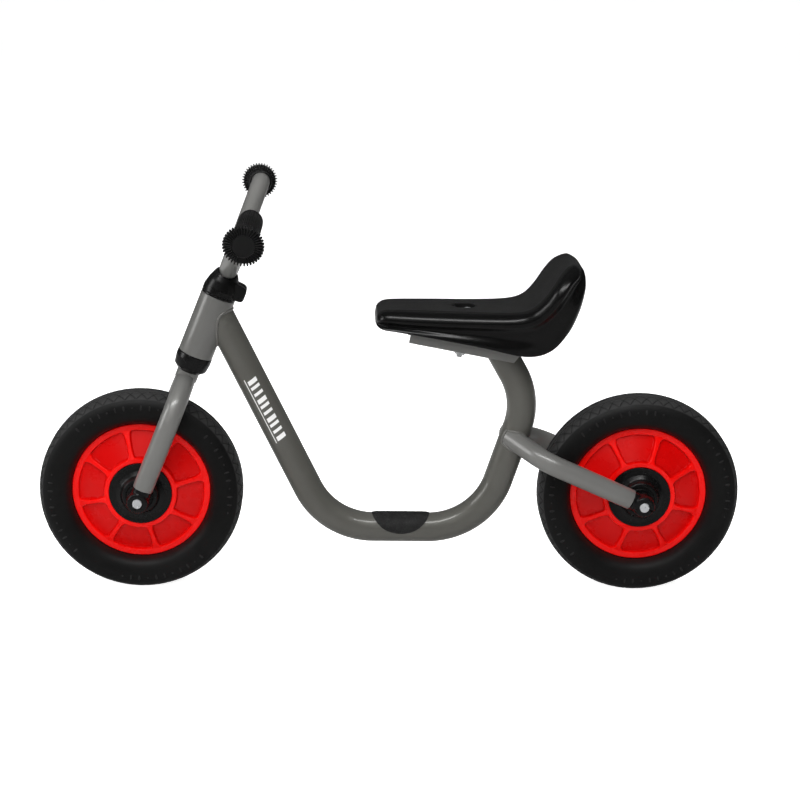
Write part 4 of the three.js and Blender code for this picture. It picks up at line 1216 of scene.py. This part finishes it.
# ---------------------------------------------------------------- steering
@dataclass(frozen=True)
class Steering:
    """Fork, handlebar, clamp and grips, all in the steering frame."""

    crown: float = 131.0
    head_bottom: float = 163.0
    head_top: float = 231.0
    cup_bottom: float = 143.0
    bar_radius: float = 10.0
    bar_half: float = 200.0
    bar_apex: float = 256.0
    arm_angle: float = 51.5
    end_height: float = 329.8
    droop: float = 8.7
    grip_length: float = 77.0
    clamp_top: float = 260.0
    bolt_reach: float = 19.8
    bolt_height: float = 242.5
    lug_half: float = 10.0

    def bar_path(self) -> BentPath:
        """The handlebar's path, stopping inside the grips."""
        arm = math.radians(self.arm_angle)
        fall = math.tan(math.radians(self.droop))
        outer_y = (self.end_height + self.bar_half * fall - self.bar_apex) / (1 / math.tan(arm) + fall)
        outer_z = self.bar_apex + outer_y / math.tan(arm)
        end = self.bar_half - 4
        end_z = self.end_height + 4 * fall
        return BentPath(((0, end, end_z), (0, outer_y, outer_z), (0, 0, self.bar_apex), (0, -outer_y, outer_z),
                         (0, -end, end_z)), (30, 24, 30), (1, 0, 0))

    def fork_path(self) -> BentPath:
        """The fork's upside-down U."""
        bend = LEG_SPREAD - 0.5
        return BentPath(((0, LEG_SPREAD, LEG_END), (0, LEG_SPREAD, self.crown), (0, -LEG_SPREAD, self.crown),
                         (0, -LEG_SPREAD, LEG_END)), (bend, bend), (1, 0, 0))

    def build(self, shop: Workshop) -> None:
        """Builds and dresses the whole steering assembly and the head it turns in."""
        add = lambda name, shell, finish, **more: shop.add(name, shell.placed(STEERING_PLACE), finish, Body.STEERING,
                                                           [name], **more)
        add("fork_tube", Tube(self.fork_path(), SMALL_TUBE).shell(), FORK_PAINT)
        add("handlebar", Tube(self.bar_path(), self.bar_radius).shell(), FORK_PAINT)
        steerer = spun(softened([(10, self.crown + 2, 0.1), (12, self.crown + 2, 0.1), (12, self.crown + 118, 0.4),
                                 (10, self.crown + 118, 0.4)]), 96).placed(UPRIGHT)
        add("steerer_tube", steerer, FORK_PAINT)
        FORK_PAINT.dress("handlebar_stem")
        add("clamp_cap", self.clamp_cap(shop), BLACK_PLASTIC, sharp=60)
        add("clamp_bolt", self.clamp_bolt(shop), ZINC)
        add("clamp_nut", self.clamp_nut(shop), ZINC)
        self.build_grips(shop)
        self.build_head(shop)

    def clamp_cap(self, shop: Workshop) -> Shell:
        """The domed clamp with the lug behind it."""
        base = self.head_top + 2.7
        radius = HEAD_RADIUS + 0.2
        dome = spun(softened([(0, base, 0), (radius, base, 0.5), (radius, base + 6, 3), (radius - 2.4, base + 15, 4),
                              (radius - 5.6, base + 22.5, 3), (11.2, self.clamp_top, 0.8), (0, self.clamp_top, 0)], 6,
                             closed=False), 96, closed=False).placed(UPRIGHT)
        lug_outline = softened([(0, 234.5, 0), (26.3, 234.5, 5), (26.3, 250.5, 6), (14, 252, 3), (0, 252, 0)], 6)
        points = [(-x, y, z) for y in (-self.lug_half, self.lug_half) for x, z in lug_outline]
        count = len(lug_outline)
        lug = Shell(np.array(points), grid_faces(2, count, False, True)
                    + [tuple(range(count)), tuple(range(2 * count - 1, count - 1, -1))])
        steerer = rod(12.3, (0, 0, base - 5), (0, 0, 250))
        stem = rod(9.9, (0, 0, base - 5), (0, 0, self.clamp_top + 5))
        bar = solid_bar(self.bar_path(), self.bar_radius + 0.5)
        slot = box_shell((40, 1.7, 60), (-30, 0, 250))
        x, z, half = -self.bolt_reach, self.bolt_height, self.lug_half
        hole = rod(3.3, (x, -30, z), (x, half - 3, z))
        counterbore = rod(5.4, (x, -30, z), (x, 5.3 - half, z))
        pocket = box_shell((10.8, 4.4, 10.8), (x, 2.2, z))
        return shop.fused("clamp_work", [dome, lug], [steerer, stem, bar, slot, hole, counterbore, pocket], 0.5, 5)

    def clamp_bolt(self, shop: Workshop) -> Shell:
        """The socket screw through the lug."""
        side = -self.lug_half
        blank = spun(softened([(0, side, 0), (5, side, 0.5), (5, side + 5, 0.3), (3, side + 5, 0.2),
                               (3, self.lug_half - 4, 0.4), (0, self.lug_half - 4, 0)], 3, closed=False), 48,
                     closed=False)
        socket = rod(2.6, (0, side - 1, 0), (0, side + 3, 0), 6)
        shape = shop.fused("bolt_work", [blank], [socket], voxel=0)
        return shape.placed(Matrix.Translation((-self.bolt_reach, 0, self.bolt_height)))

    def clamp_nut(self, shop: Workshop) -> Shell:
        """The square nut in the lug's pocket."""
        plate = box_shell((10, 3.2, 10), (0, 2, 0))
        bore = rod(3.3, (0, -5, 0), (0, 10, 0))
        shape = shop.fused("nut_work", [plate], [bore], voxel=0)
        return shape.placed(Matrix.Translation((-self.bolt_reach, 0, self.bolt_height)))

    def grip_outline(self, across: float) -> list[tuple[float, float]]:
        """The grip's section at a place across one of its ribs."""
        length = self.grip_length
        tooth = 1 - smooth((abs(across) - 0.17) / 0.13)
        rib = 0.55 * tooth
        rim = 18.3 + 2.0 * tooth
        face = length - 2.4 * (1 - tooth)
        back = length - 6 + 1.3 * (1 - tooth)
        return [(10.3, 0.0), (11.6, 0.0), (12.1, 0.4), (12.3, 1.6), (12.3, 3.6), (11.95, 4.4), (11.95 + rib, 5.6),
                (11.95 + rib, 20.0), (11.95 + rib, 45.0), (11.95 + rib, 66.4), (12.3, 68.0), (12.7, length - 7.4),
                (13.6, length - 6.4), (14.6, back), (rim - 1.2, back), (rim - 0.3, back + 0.4), (rim, back + 1.2),
                (rim, face - 1.3), (rim - 0.4, face - 0.4), (rim - 1.2, face), (14.0, face), (12.0, face),
                (11.2, length - 0.4), (10.8, length - 1.2), (9.0, length - 1.3), (0.0, length - 1.5),
                (0.0, length - 3), (10.3, length - 3)]

    def build_grips(self, shop: Workshop) -> None:
        """The two grips, each from one rib repeated round."""
        teeth = 38
        droop = math.radians(self.droop)
        inner = self.grip_length
        slice_shell = sector(self.grip_outline, teeth, 10)
        for side in Side:
            name = f"grip_{side.word}"
            obj = shop.repeated(name, slice_shell, teeth, GRIP_RUBBER.material())
            turn = -droop if side is Side.LEFT else math.pi + droop
            at = Vector((0, side.value * (self.bar_half - inner * math.cos(droop)),
                         self.end_height + inner * math.sin(droop)))
            spot = STEERING_PLACE @ Matrix.Translation(at) @ Matrix.Rotation(turn, 4, "X")
            spot.translation = spot.translation * MM
            obj.data.transform(spot)
            shop.finish(obj, GRIP_RUBBER, Body.STEERING, [name], sharp=50)

    def build_head(self, shop: Workshop) -> None:
        """The head tube and its two bushings, which stay with the frame."""
        bottom, top = self.head_bottom, self.head_top
        inner = HEAD_RADIUS - TUBE_WALL
        cup = HEAD_RADIUS + 0.4
        spigot = inner - GAP
        pieces = {
            "head_tube": (LIT_HEAD_TUBE_PAINT, [(inner, bottom, 0.5), (HEAD_RADIUS, bottom, 0.7), (HEAD_RADIUS, top, 0.7),
                                       (inner, top, 0.5)]),
            "head_bushing_lower": (BLACK_PLASTIC, [(12.3, self.cup_bottom, 0.3), (cup - 6.4, self.cup_bottom, 1),
                                                   (cup - 1.4, self.cup_bottom + 4.2, 3.5), (cup, bottom - 6, 3),
                                                   (cup - 0.1, bottom - 0.3, 0.8), (spigot, bottom - 0.3, 0.1),
                                                   (spigot, bottom + 14.7, 0.4), (12.3, bottom + 14.7, 0.2)]),
            "head_bushing_upper": (BLACK_PLASTIC, [(12.3, top - 14.7, 0.2), (spigot, top - 14.7, 0.4),
                                                   (spigot, top + 0.3, 0.1), (HEAD_RADIUS, top + 0.3, 0.4),
                                                   (HEAD_RADIUS, top + 2.4, 0.4), (12.3, top + 2.4, 0.2)]),
        }
        for name, (finish, corners) in pieces.items():
            shape = spun(softened(corners, 5), 112).placed(STEERING_PLACE @ UPRIGHT)
            shop.add(name, shape, finish, Body.FRAME, [name])


def solid_bar(path: BentPath, radius: float, sides: int = 48) -> Shell:
    """A solid round bar along a path, used to cut other shapes."""
    stations = path.stations()
    rings = [path.ring(station, radius, sides) for station in stations]
    count = len(rings)
    points = np.vstack([*rings, stations[0][0][None], stations[-1][0][None]])
    faces = grid_faces(count, sides, False, True)
    first, tail = count * sides, (count - 1) * sides
    faces += [(first, (k + 1) % sides, k) for k in range(sides)]
    faces += [(first + 1, tail + k, tail + (k + 1) % sides) for k in range(sides)]
    return Shell(points, faces)


# ---------------------------------------------------------------- frame
@dataclass(frozen=True)
class Frame:
    """The bent main tube, the rear stays, the saddle bracket and the foot pad."""

    bottom: float = 66.9
    bends: tuple[float, float, float] = (80.0, 80.0, 75.0)
    down_lean: float = 26.55
    head_height: float = 218.9
    riser: tuple[float, float] = (-122.3, 137.3)
    riser_lean: float = 17.7
    top_lean: float = 30.0
    top_height: float = 214.5
    top_run: float = 75.0
    stay_start: float = -133.0
    stay_spread: float = 2.0
    splay: float = 46.0
    splay_start: float = 9.0
    stay_bend: float = 40.0

    def riser_x(self, z: float) -> float:
        """Where the riser's centreline is at a height."""
        return self.riser[0] - (z - self.riser[1]) * math.tan(math.radians(self.riser_lean))

    def main_corners(self) -> list[tuple[float, float, float]]:
        """The corners of the main tube's path, from the head to the saddle."""
        head = FRONT_AXLE + STEERING_AXIS * self.head_height
        front = head.x - (head.z - self.bottom) * math.tan(math.radians(self.down_lean))
        lean = math.radians(self.top_lean)
        elbow = self.riser_x(self.top_height)
        return [(head.x, 0, head.z), (front, 0, self.bottom), (self.riser_x(self.bottom), 0, self.bottom),
                (elbow, 0, self.top_height),
                (elbow + self.top_run * math.sin(lean), 0, self.top_height + self.top_run * math.cos(lean))]

    def main_tube(self) -> Tube:
        """The main tube, coped to the head tube in front and to the bracket at its top."""
        path = BentPath(tuple(self.main_corners()), self.bends, (0, 1, 0))
        tilt = math.radians(BRACKET_TILT)
        under = (BRACKET_FRONT[0], 0, BRACKET_FRONT[1] - 3.0)
        return Tube(path, MAIN_RADIUS, start_cope=onto_cylinder(FRONT_AXLE, STEERING_AXIS, HEAD_RADIUS - 0.5),
                    end_cope=onto_plane(under, (-math.sin(tilt), 0, math.cos(tilt))), sides=80)

    def stay_rise(self) -> float:
        """How steeply the stays climb from the rear axle, in degrees."""
        z = self.riser[1] - (self.stay_start - self.riser[0]) / math.tan(math.radians(self.riser_lean))
        return math.degrees(math.atan2(z - REAR_AXLE.z, self.stay_start - REAR_AXLE.x))

    def stay(self, side: Side) -> Tube:
        """One rear stay, in the frame at the rear axle whose Z axis runs up the stay."""
        z = self.riser[1] - (self.stay_start - self.riser[0]) / math.tan(math.radians(self.riser_lean))
        length = math.hypot(z - REAR_AXLE.z, REAR_AXLE.x - self.stay_start)
        corner = length + self.splay_start - (LEG_SPREAD - self.stay_spread) / math.tan(math.radians(self.splay))
        sign = side.value
        path = BentPath(((0, sign * self.stay_spread, length + self.splay_start), (0, sign * LEG_SPREAD, corner),
                         (0, sign * LEG_SPREAD, LEG_END)), (self.stay_bend,), (1, 0, 0))
        back = REAR_PLACE.inverted()
        lean = math.radians(self.riser_lean)
        middle = back @ Vector((self.stay_start, 0, z))
        axis = back.to_3x3() @ Vector((-math.sin(lean), 0, math.cos(lean)))
        return Tube(path, SMALL_TUBE, start_cope=onto_cylinder(middle, axis, MAIN_RADIUS - 0.5))

    def build(self, shop: Workshop) -> None:
        """Builds and dresses the frame."""
        main = self.main_tube()
        shop.add("main_tube", main.shell(), FRAME_PAINT, Body.FRAME, ["main_tube"], sharp=40)
        welds = bead(main.mouth(), 1.9, 46) + bead(main.mouth(at_end=True), 1.6, 40)
        for side in Side:
            stay = self.stay(side)
            name = f"rear_stay_{side.word}"
            shop.add(name, stay.shell().placed(REAR_PLACE), FORK_PAINT, Body.FRAME, [name], sharp=40)
            welds = welds + bead(stay.mouth(), 1.5, 30).placed(REAR_PLACE)
        shop.add("weld_beads", welds, WELD, Body.FRAME, sharp=80)
        self.build_bracket(shop)
        self.build_pad(shop)
        self.build_decal(shop)

    def build_bracket(self, shop: Workshop) -> None:
        """The folded channel that carries the saddle."""
        length, half, height, sheet = 121.0, 20.0, 13.0, 3.0
        inner = half - sheet
        section = softened([(-half, -height, 0.7), (-half, 0, 3.6), (half, 0, 3.6), (half, -height, 0.7),
                            (inner, -height, 0.7), (inner, -sheet, 0.9), (-inner, -sheet, 0.9), (-inner, -height, 0.7)], 5)
        rows = []
        for share, shrink in ((0, 0.6), (0.005, 0), (0.5, 0), (0.995, 0), (1, 0.6)):
            rows.append([(-share * length * (1 - 0.055 * -z / height) - 0.0 * shrink, y, z) for y, z in section])
        count = len(section)
        faces = grid_faces(len(rows), count, False, True)
        faces += [tuple(range(count)), tuple(range(len(rows) * count - 1, (len(rows) - 1) * count - 1, -1))]
        channel = Shell(np.array(rows).reshape(-1, 3), faces)
        x = Saddle().bolt_place()
        channel = shop.fused("bracket_work", [channel], [rod(3.4, (x, 0, -20), (x, 0, 20))], voxel=0)
        shop.add("seat_bracket", channel.placed(BRACKET_PLACE), FORK_PAINT, Body.FRAME, ["seat_bracket"])

    def build_pad(self, shop: Workshop) -> None:
        """The grit pad wrapped over the lowest run of the main tube, with its grains."""
        corners = [np.array(c) for c in self.main_corners()]
        ends = []
        for i in (1, 2):
            before, after = corners[i] - corners[i - 1], corners[i + 1] - corners[i]
            turn = math.acos(before @ after / np.linalg.norm(before) / np.linalg.norm(after))
            ends.append(self.bends[i - 1] * math.tan(turn / 2))
        front = corners[1][0] - ends[0] + 1.5
        rear = corners[2][0] + ends[1] - 1.5
        middle, reach, half_angle = (front + rear) / 2, (front - rear) / 2, 100.0
        rows = []
        around = 2 * np.pi * np.arange(120) / 120
        lifts = [(s, MAIN_RADIUS + GAP + 0.8 * (1 - s**14)) for s in np.linspace(0, 1, 26)]
        lifts += [(s, MAIN_RADIUS + 0.15) for s in np.linspace(0.995, 0, 10)]
        for share, radius in lifts:
            angle = np.radians(half_angle * share * np.sin(around))
            rows.append(np.stack([middle + reach * share * np.cos(around), radius * np.sin(angle),
                                  self.bottom + radius * np.cos(angle)], axis=1))
        base = shop.mesh_object("foot_pad_base", Shell(np.vstack(rows), grid_faces(len(rows), 120, False, True)))
        shop.face_outward(base, weld=0.00001)
        grain = shop.mesh_object("grain", spun([(0, -0.22), (0.36, -0.02), (0.24, 0.26), (0, 0.34)], 6, closed=False))
        grains = shop.scattered("foot_pad_grains", base, grain, 1.3e6, 7, GRIT.material())
        shell = shop.taken(base) + shop.taken(grains)
        bpy.data.objects.remove(grain, do_unlink=True)
        shop.add("foot_pad", shell, GRIT, Body.FRAME, ["foot_pad"], sharp=30)

    def build_decal(self, shop: Workshop) -> None:
        """A plain line with a row of slanted dashes on the down tube's left side."""
        corners = [np.array(c) for c in self.main_corners()]
        along = (corners[1] - corners[0]) / np.linalg.norm(corners[1] - corners[0])
        lower = np.cross(along, (0, 1, 0))
        lower = lower if lower[0] > 0 else -lower

        def strip(start: float, end: float, low: float, high: float, slant: float) -> Shell:
            angles = np.radians(np.linspace(low, high, 12))
            shares = np.linspace(0, 1, 12)
            rows = []
            for t in np.linspace(start, end, 6):
                ring = []
                for radius, order in ((MAIN_RADIUS + 0.09, 1), (MAIN_RADIUS + 0.02, -1)):
                    for a, share in list(zip(angles, shares))[::order]:
                        centre = corners[0] + along * (t + slant * share)
                        ring.append(centre + radius * (math.cos(a) * np.array((0, 1, 0)) + math.sin(a) * lower))
                rows.append(ring)
            count = len(rows[0])
            faces = grid_faces(6, count, False, True)
            faces += [tuple(range(count)), tuple(range(6 * count - 1, 5 * count - 1, -1))]
            return Shell(np.array(rows).reshape(-1, 3), faces)

        decal = strip(84, 162, 20.2, 23.4, 0)
        for i in range(10):
            start = 85.0 + 7.6 * i
            decal = decal + strip(start, start + (3.4 if i % 3 else 5.0), -26, 13, 2.2)
        shop.add("frame_decal", decal, DECAL_WHITE, Body.FRAME)


REAR_PLACE = place(REAR_AXLE, 90 - Frame().stay_rise())


# ---------------------------------------------------------------- saddle
@dataclass(frozen=True)
class Saddle:
    """The moulded saddle, drawn from pairs of points on its upper and under side, front to back."""

    bolt_x: float = -75.0
    recess_depth: float = 6.0
    recess_reach: tuple[float, float] = (9.6, 8.6)

    def sections(self) -> list[tuple[tuple[float, float], tuple[float, float], float]]:
        """(upper point, under point, half width) of each section."""
        return [((19.6, 307), (20.0, 303), 22), ((17.5, 313), (17.5, 299.5), 31), ((10, 317.2), (11, 297), 37.5),
                ((-5, 318), (-3, 295.5), 41), ((-40, 318), (-38, 290.5), 44.5), ((-90, 317.6), (-92, 281.5), 47.5),
                ((-124, 318.4), (-138, 272.5), 52), ((-141, 322.5), (-165, 277.5), 57), ((-153, 333), (-184, 297), 62),
                ((-163.5, 348), (-195, 320), 64.5), ((-172, 360), (-200.5, 341), 59), ((-179.5, 366.6), (-201, 353), 50),
                ((-186, 369.4), (-199, 361.5), 39), ((-190.5, 368.6), (-196, 365.5), 28)]

    def bolt_place(self) -> float:
        """Place of the seat bolt along the bracket, from its front end."""
        return (self.bolt_x - BRACKET_FRONT[0]) / math.cos(math.radians(BRACKET_TILT))

    @staticmethod
    def profile(half: float, height: float, hollow: float, taper: float) -> list[tuple[float, float]]:
        """One side of a section from the middle of the top to the middle of the underside, as (y, depth)."""
        roll = min(13.0, 0.52 * height)
        rest = height - 1.15 * roll
        return [(0, 0.5), (0.35 * half, 0.35), (0.62 * half, 0.2), (half - 1.2 * roll, 0.25),
                (half - 0.55 * roll, 0.13 * roll), (half - 0.14 * roll, 0.45 * roll), (half, 0.92 * roll),
                (half - 0.2 * roll - 0.85 * hollow, 1.15 * roll + 0.16 * rest),
                (half - 0.26 * roll - hollow, 1.15 * roll + 0.42 * rest),
                (half - 0.2 * roll - 0.4 * hollow - 0.45 * taper, 1.15 * roll + 0.74 * rest),
                (half - 0.28 * roll - taper, height - 0.5 - 0.16 * taper),
                (half - 0.7 * roll - 1.5 * taper, height + 0.1 - 0.04 * taper), (0.5 * half - 0.5 * taper, height),
                (0, height)]

    @staticmethod
    def eased(points: np.ndarray, steps: int, wrap: bool) -> np.ndarray:
        """Points added along the first axis on a smooth curve through those given."""
        count = len(points)
        padded = np.concatenate([points[-1:], points, points[:2]]) if wrap else \
            np.concatenate([2 * points[:1] - points[1:2], points, 2 * points[-1:] - points[-2:-1]])
        rows = []
        for i in range(count if wrap else count - 1):
            a, b, c, d = padded[i:i + 4]
            for k in range(steps):
                t = k / steps
                rows.append(0.5 * (2 * b + (c - a) * t + (2 * a - 5 * b + 4 * c - d) * t * t
                                   + (3 * b - a - 3 * c + d) * t**3))
        if not wrap:
            rows.append(points[-1])
        return np.array(rows)

    def skin(self) -> Shell:
        """The saddle's surface, with the recess for the bolt."""
        cage = []
        for i, (upper, under, half) in enumerate(self.sections()):
            top, low = np.array(upper, float), np.array(under, float)
            height = float(np.linalg.norm(low - top))
            down = (low - top) / height
            hollow = 3.2 + 3.6 * smooth((i - 6) / 3) - 3.0 * smooth((i - 10) / 3)
            hollow *= smooth(height / 20)
            taper = 15.0 * smooth((i - 5) / 4) * min(1.0, height / 40)
            side = [(y, *(top + down * depth)) for y, depth in self.profile(half, height, hollow, taper)]
            ring = [(x, y, z) for y, x, z in side] + [(x, -y, z) for y, x, z in side[-2:0:-1]]
            cage.append(ring)
        points = self.eased(np.array(cage), 14, False)
        points = self.eased(points.transpose(1, 0, 2), 7, True).transpose(1, 0, 2)
        rows, columns = points.shape[:2]
        flat = points.reshape(-1, 3).copy()
        away = np.hypot((flat[:, 0] - self.bolt_x) / self.recess_reach[0], flat[:, 1] / self.recess_reach[1])
        on_top = flat[:, 2] > 312
        sink = np.array([1 - smooth((a - 0.9) / 0.2) for a in away])
        rim = np.array([math.exp(-((a - 1.22) / 0.12) ** 2) for a in away])
        flat[:, 2] -= np.where(on_top, sink * self.recess_depth - 0.25 * rim, 0)
        front, back = flat[:columns].mean(axis=0), flat[-columns:].mean(axis=0)
        faces = grid_faces(rows, columns, False, True)
        tail = (rows - 1) * columns
        first = rows * columns
        faces += [(first, (k + 1) % columns, k) for k in range(columns)]
        faces += [(first + 1, tail + k, tail + (k + 1) % columns) for k in range(columns)]
        return Shell(np.vstack([flat, front, back]), faces)

    def build(self, shop: Workshop) -> None:
        """Builds and dresses the saddle and its bolt, washer and nut."""
        shop.add("saddle", self.skin(), SADDLE_SKIN, Body.FRAME, ["saddle"], sharp=70)
        head = 317.5 - bracket_top(self.bolt_x) - self.recess_depth
        sheet, washer, nut = -3.3, 1.5, 14.0
        tip = sheet - washer - nut - 3.2
        bolt = spun(softened([(0, tip, 0), (3, tip, 0.6), (3, head, 0.3), (7, head, 0.3), (7, head + 1.1, 0.7),
                              (4.8, head + 3.5, 2), (2.4, head + 4, 0.3), (2.2, head + 3.2, 0.3), (0, head + 3, 0)], 5,
                             closed=False), 64, closed=False)
        ring = spun(softened([(3.3, sheet - washer, 0.1), (7, sheet - washer, 0.3), (7, sheet, 0.3), (3.3, sheet, 0.1)]),
                    64)
        low = sheet - washer - GAP - nut
        across = 10 / math.sqrt(3)
        block = spun(softened([(0, low, 0), (across - 0.6, low, 0.1), (across, low + 0.7, 0.1),
                               (across, low + nut - 0.7, 0.1), (across - 0.6, low + nut, 0.1), (0, low + nut, 0)], 2,
                              closed=False), 6, closed=False)
        block = shop.fused("seat_nut_work", [block], [rod(3.3, (0, -40, 0), (0, 40, 0))], voxel=0)
        spot = BRACKET_PLACE @ Matrix.Translation((self.bolt_place(), 0, 0)) @ UPRIGHT
        for name, shape in (("seat_bolt", bolt), ("seat_washer", ring), ("seat_nut", block)):
            shop.add(name, shape.placed(spot), ZINC, Body.FRAME, [name])


# ---------------------------------------------------------------- studio
@dataclass(frozen=True)
class Lamp:
    """One soft light: where it stands, what it points at, its size and power."""

    name: str
    spot: tuple[float, float, float]
    aim: tuple[float, float, float]
    size: tuple[float, float]
    power: float
    mirrored: bool = True  # whether shiny pieces show it

    def build(self) -> None:
        """Adds the light to the scene."""
        data = bpy.data.lights.new(self.name, "AREA")
        data.shape = "RECTANGLE"
        data.size, data.size_y = self.size
        data.energy = self.power
        lamp = bpy.data.objects.new(self.name, data)
        lamp.location = self.spot
        lamp.visible_glossy = self.mirrored
        lamp.rotation_euler = (Vector(self.aim) - Vector(self.spot)).to_track_quat("-Z", "Y").to_euler()
        bpy.context.scene.collection.objects.link(lamp)


@dataclass(frozen=True)
class Studio:
    """A pale floor that curves up behind the bike, a white surround and soft lights."""

    camera_spot: tuple[float, float, float] = (0.063265, 1.980905, 0.76443)
    yaw: float = -2.073
    pitch: float = 15.577
    roll: float = 1.11
    lens: float = 85.53
    floor_glow: tuple[float, float] = (0.02, 0.93)  # what the floor sends to the bike, and to the camera
    lamps: tuple[Lamp, ...] = (
        Lamp("strip_softbox", (0.35, 1.75, 2.75), (0.0, 0.0, 0.15), (3.2, 0.42), 34.0),
        Lamp("top_softbox", (0.0, -0.6, 2.6), (0.0, 0.0, 0.1), (3.0, 1.6), 44.0, mirrored=False),
        Lamp("side_softbox", (2.6, 0.5, 1.2), (0.0, 0.0, 0.2), (1.0, 1.6), 14.0),
        Lamp("front_fill", (0.5, 2.4, 1.9), (0.0, 0.0, 0.2), (2.4, 1.8), 62.0, mirrored=False),
    )

    def build(self) -> None:
        """Builds the floor, surround, lights and camera."""
        self.build_floor()
        self.build_world()
        for lamp in self.lamps:
            lamp.build()
        self.build_camera()
        bpy.context.scene.view_settings.view_transform = "Standard"

    def build_floor(self) -> None:
        """The floor, which rises in a wide sweep far behind the bike."""
        half, near, far, height = 14.0, 6.0, 9.0, 9.0
        run = [(near, 0.0), (1.5, 0.0), (-1.5, 0.0), (-far + 3, 0.0)]
        run += [(-far + 3 + 3 * math.cos(a), 3 + 3 * math.sin(a)) for a in np.linspace(-math.pi / 2, -math.pi, 13)[1:]]
        run += [(-far, height)]
        points = np.array([(x, y, z) for x in (-half, half) for y, z in run]) / MM
        obj = Workshop().mesh_object("floor", Shell(points, grid_faces(2, len(run), False, False)))
        floor = bpy.data.materials.new("floor")
        floor.use_nodes = True
        tree = floor.node_tree
        surface = tree.nodes["Principled BSDF"]
        vector = tree.nodes.new("ShaderNodeTexCoord").outputs["Object"]
        amount = noise(tree, vector, 1.5)
        pale = mixed(tree, amount, (0.90, 0.90, 0.90), (0.93, 0.93, 0.93))
        split = tree.nodes.new("ShaderNodeSeparateXYZ")
        tree.links.new(vector, split.inputs[0])
        seen_shiny = mixed(tree, ranged(tree, split.outputs["Y"], 0.3, -0.5), (0.10, 0.10, 0.10), (0.60, 0.60, 0.60))
        surface.inputs["Roughness"].default_value = 0.7
        surface.inputs["Emission Color"].default_value = (1.0, 1.0, 1.0, 1.0)
        path = tree.nodes.new("ShaderNodeLightPath")
        tree.links.new(mixed(tree, path.outputs["Is Glossy Ray"], pale, seen_shiny), surface.inputs["Base Color"])
        glow = tree.nodes.new("ShaderNodeMix")
        tree.links.new(path.outputs["Is Camera Ray"], glow.inputs["Factor"])
        glow.inputs["A"].default_value, glow.inputs["B"].default_value = self.floor_glow
        tree.links.new(glow.outputs["Result"], surface.inputs["Emission Strength"])
        obj.data.materials.append(floor)
        obj.data.shade_smooth()

    def build_world(self) -> None:
        """White behind the bike, dim on the near side, brighter overhead."""
        world = bpy.data.worlds.new("studio")
        world.use_nodes = True
        bpy.context.scene.world = world
        tree = world.node_tree
        link = tree.links.new
        background = tree.nodes["Background"]
        direction = tree.nodes.new("ShaderNodeTexCoord").outputs["Generated"]
        split = tree.nodes.new("ShaderNodeSeparateXYZ")
        link(direction, split.inputs[0])
        behind = ranged(tree, split.outputs["Y"], 0.1, -0.8, 0.02, 1.0)
        above = ranged(tree, split.outputs["Z"], 0.75, 1.0, 0.0, 0.3)
        beside = ranged(tree, split.outputs["X"], 0.5, 1.0, 0.0, 0.35)
        total = math_node(tree, "ADD", math_node(tree, "ADD", behind, above), beside)
        path = tree.nodes.new("ShaderNodeLightPath")
        seen = math_node(tree, "MULTIPLY", path.outputs["Is Camera Ray"], 1.0)
        strength = tree.nodes.new("ShaderNodeMix")
        link(seen, strength.inputs["Factor"])
        link(total, strength.inputs["A"])
        strength.inputs["B"].default_value = 1.05
        link(strength.outputs["Result"], background.inputs["Strength"])

    def build_camera(self) -> None:
        """The camera, from its place and its three turns."""
        yaw, pitch, roll = (math.radians(a) for a in (self.yaw, self.pitch, self.roll))
        base = Matrix(((-1, 0, 0), (0, 0, -1), (0, -1, 0)))
        turned = Matrix(((math.cos(yaw), 0, math.sin(yaw)), (0, 1, 0), (-math.sin(yaw), 0, math.cos(yaw))))
        tipped = Matrix(((1, 0, 0), (0, math.cos(pitch), -math.sin(pitch)), (0, math.sin(pitch), math.cos(pitch))))
        rolled = Matrix(((math.cos(roll), -math.sin(roll), 0), (math.sin(roll), math.cos(roll), 0), (0, 0, 1)))
        rows = rolled @ tipped @ turned @ base
        axes = Matrix((rows[0], -rows[1], -rows[2])).transposed()
        data = bpy.data.cameras.new("camera")
        data.lens = self.lens
        data.sensor_width = 36.0
        camera = bpy.data.objects.new("camera", data)
        camera.matrix_world = Matrix.Translation(self.camera_spot) @ axes.to_4x4()
        bpy.context.scene.collection.objects.link(camera)
        bpy.context.scene.camera = camera


def corners(box: tuple[Vector, Vector]) -> list[list[float]]:
    """A box's two corners as plain lists."""
    return [[float(value) for value in corner] for corner in box]


def main() -> None:
    """Builds the bike over the CAD frame, then the studio round it."""
    logging.basicConfig(level=logging.INFO, format="%(message)s")
    shop = Workshop()
    wheels = (Wheel("front", FRONT_AXLE, Body.FRONT_WHEEL, 13.0), Wheel("rear", REAR_AXLE, Body.REAR_WHEEL, 28.0))
    for wheel in wheels:
        wheel.build(shop)
    plug = AxleSet.plug(shop)
    for axles in (AxleSet("front", Body.STEERING, STEERING_PLACE), AxleSet("rear", Body.FRAME, REAR_PLACE)):
        axles.build(shop, plug)
    Steering().build(shop)
    Frame().build(shop)
    Saddle().build(shop)
    Studio().build()
    log.info("%d pieces built", len(shop.pieces))
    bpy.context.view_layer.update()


if __name__ == "__main__":
    main()
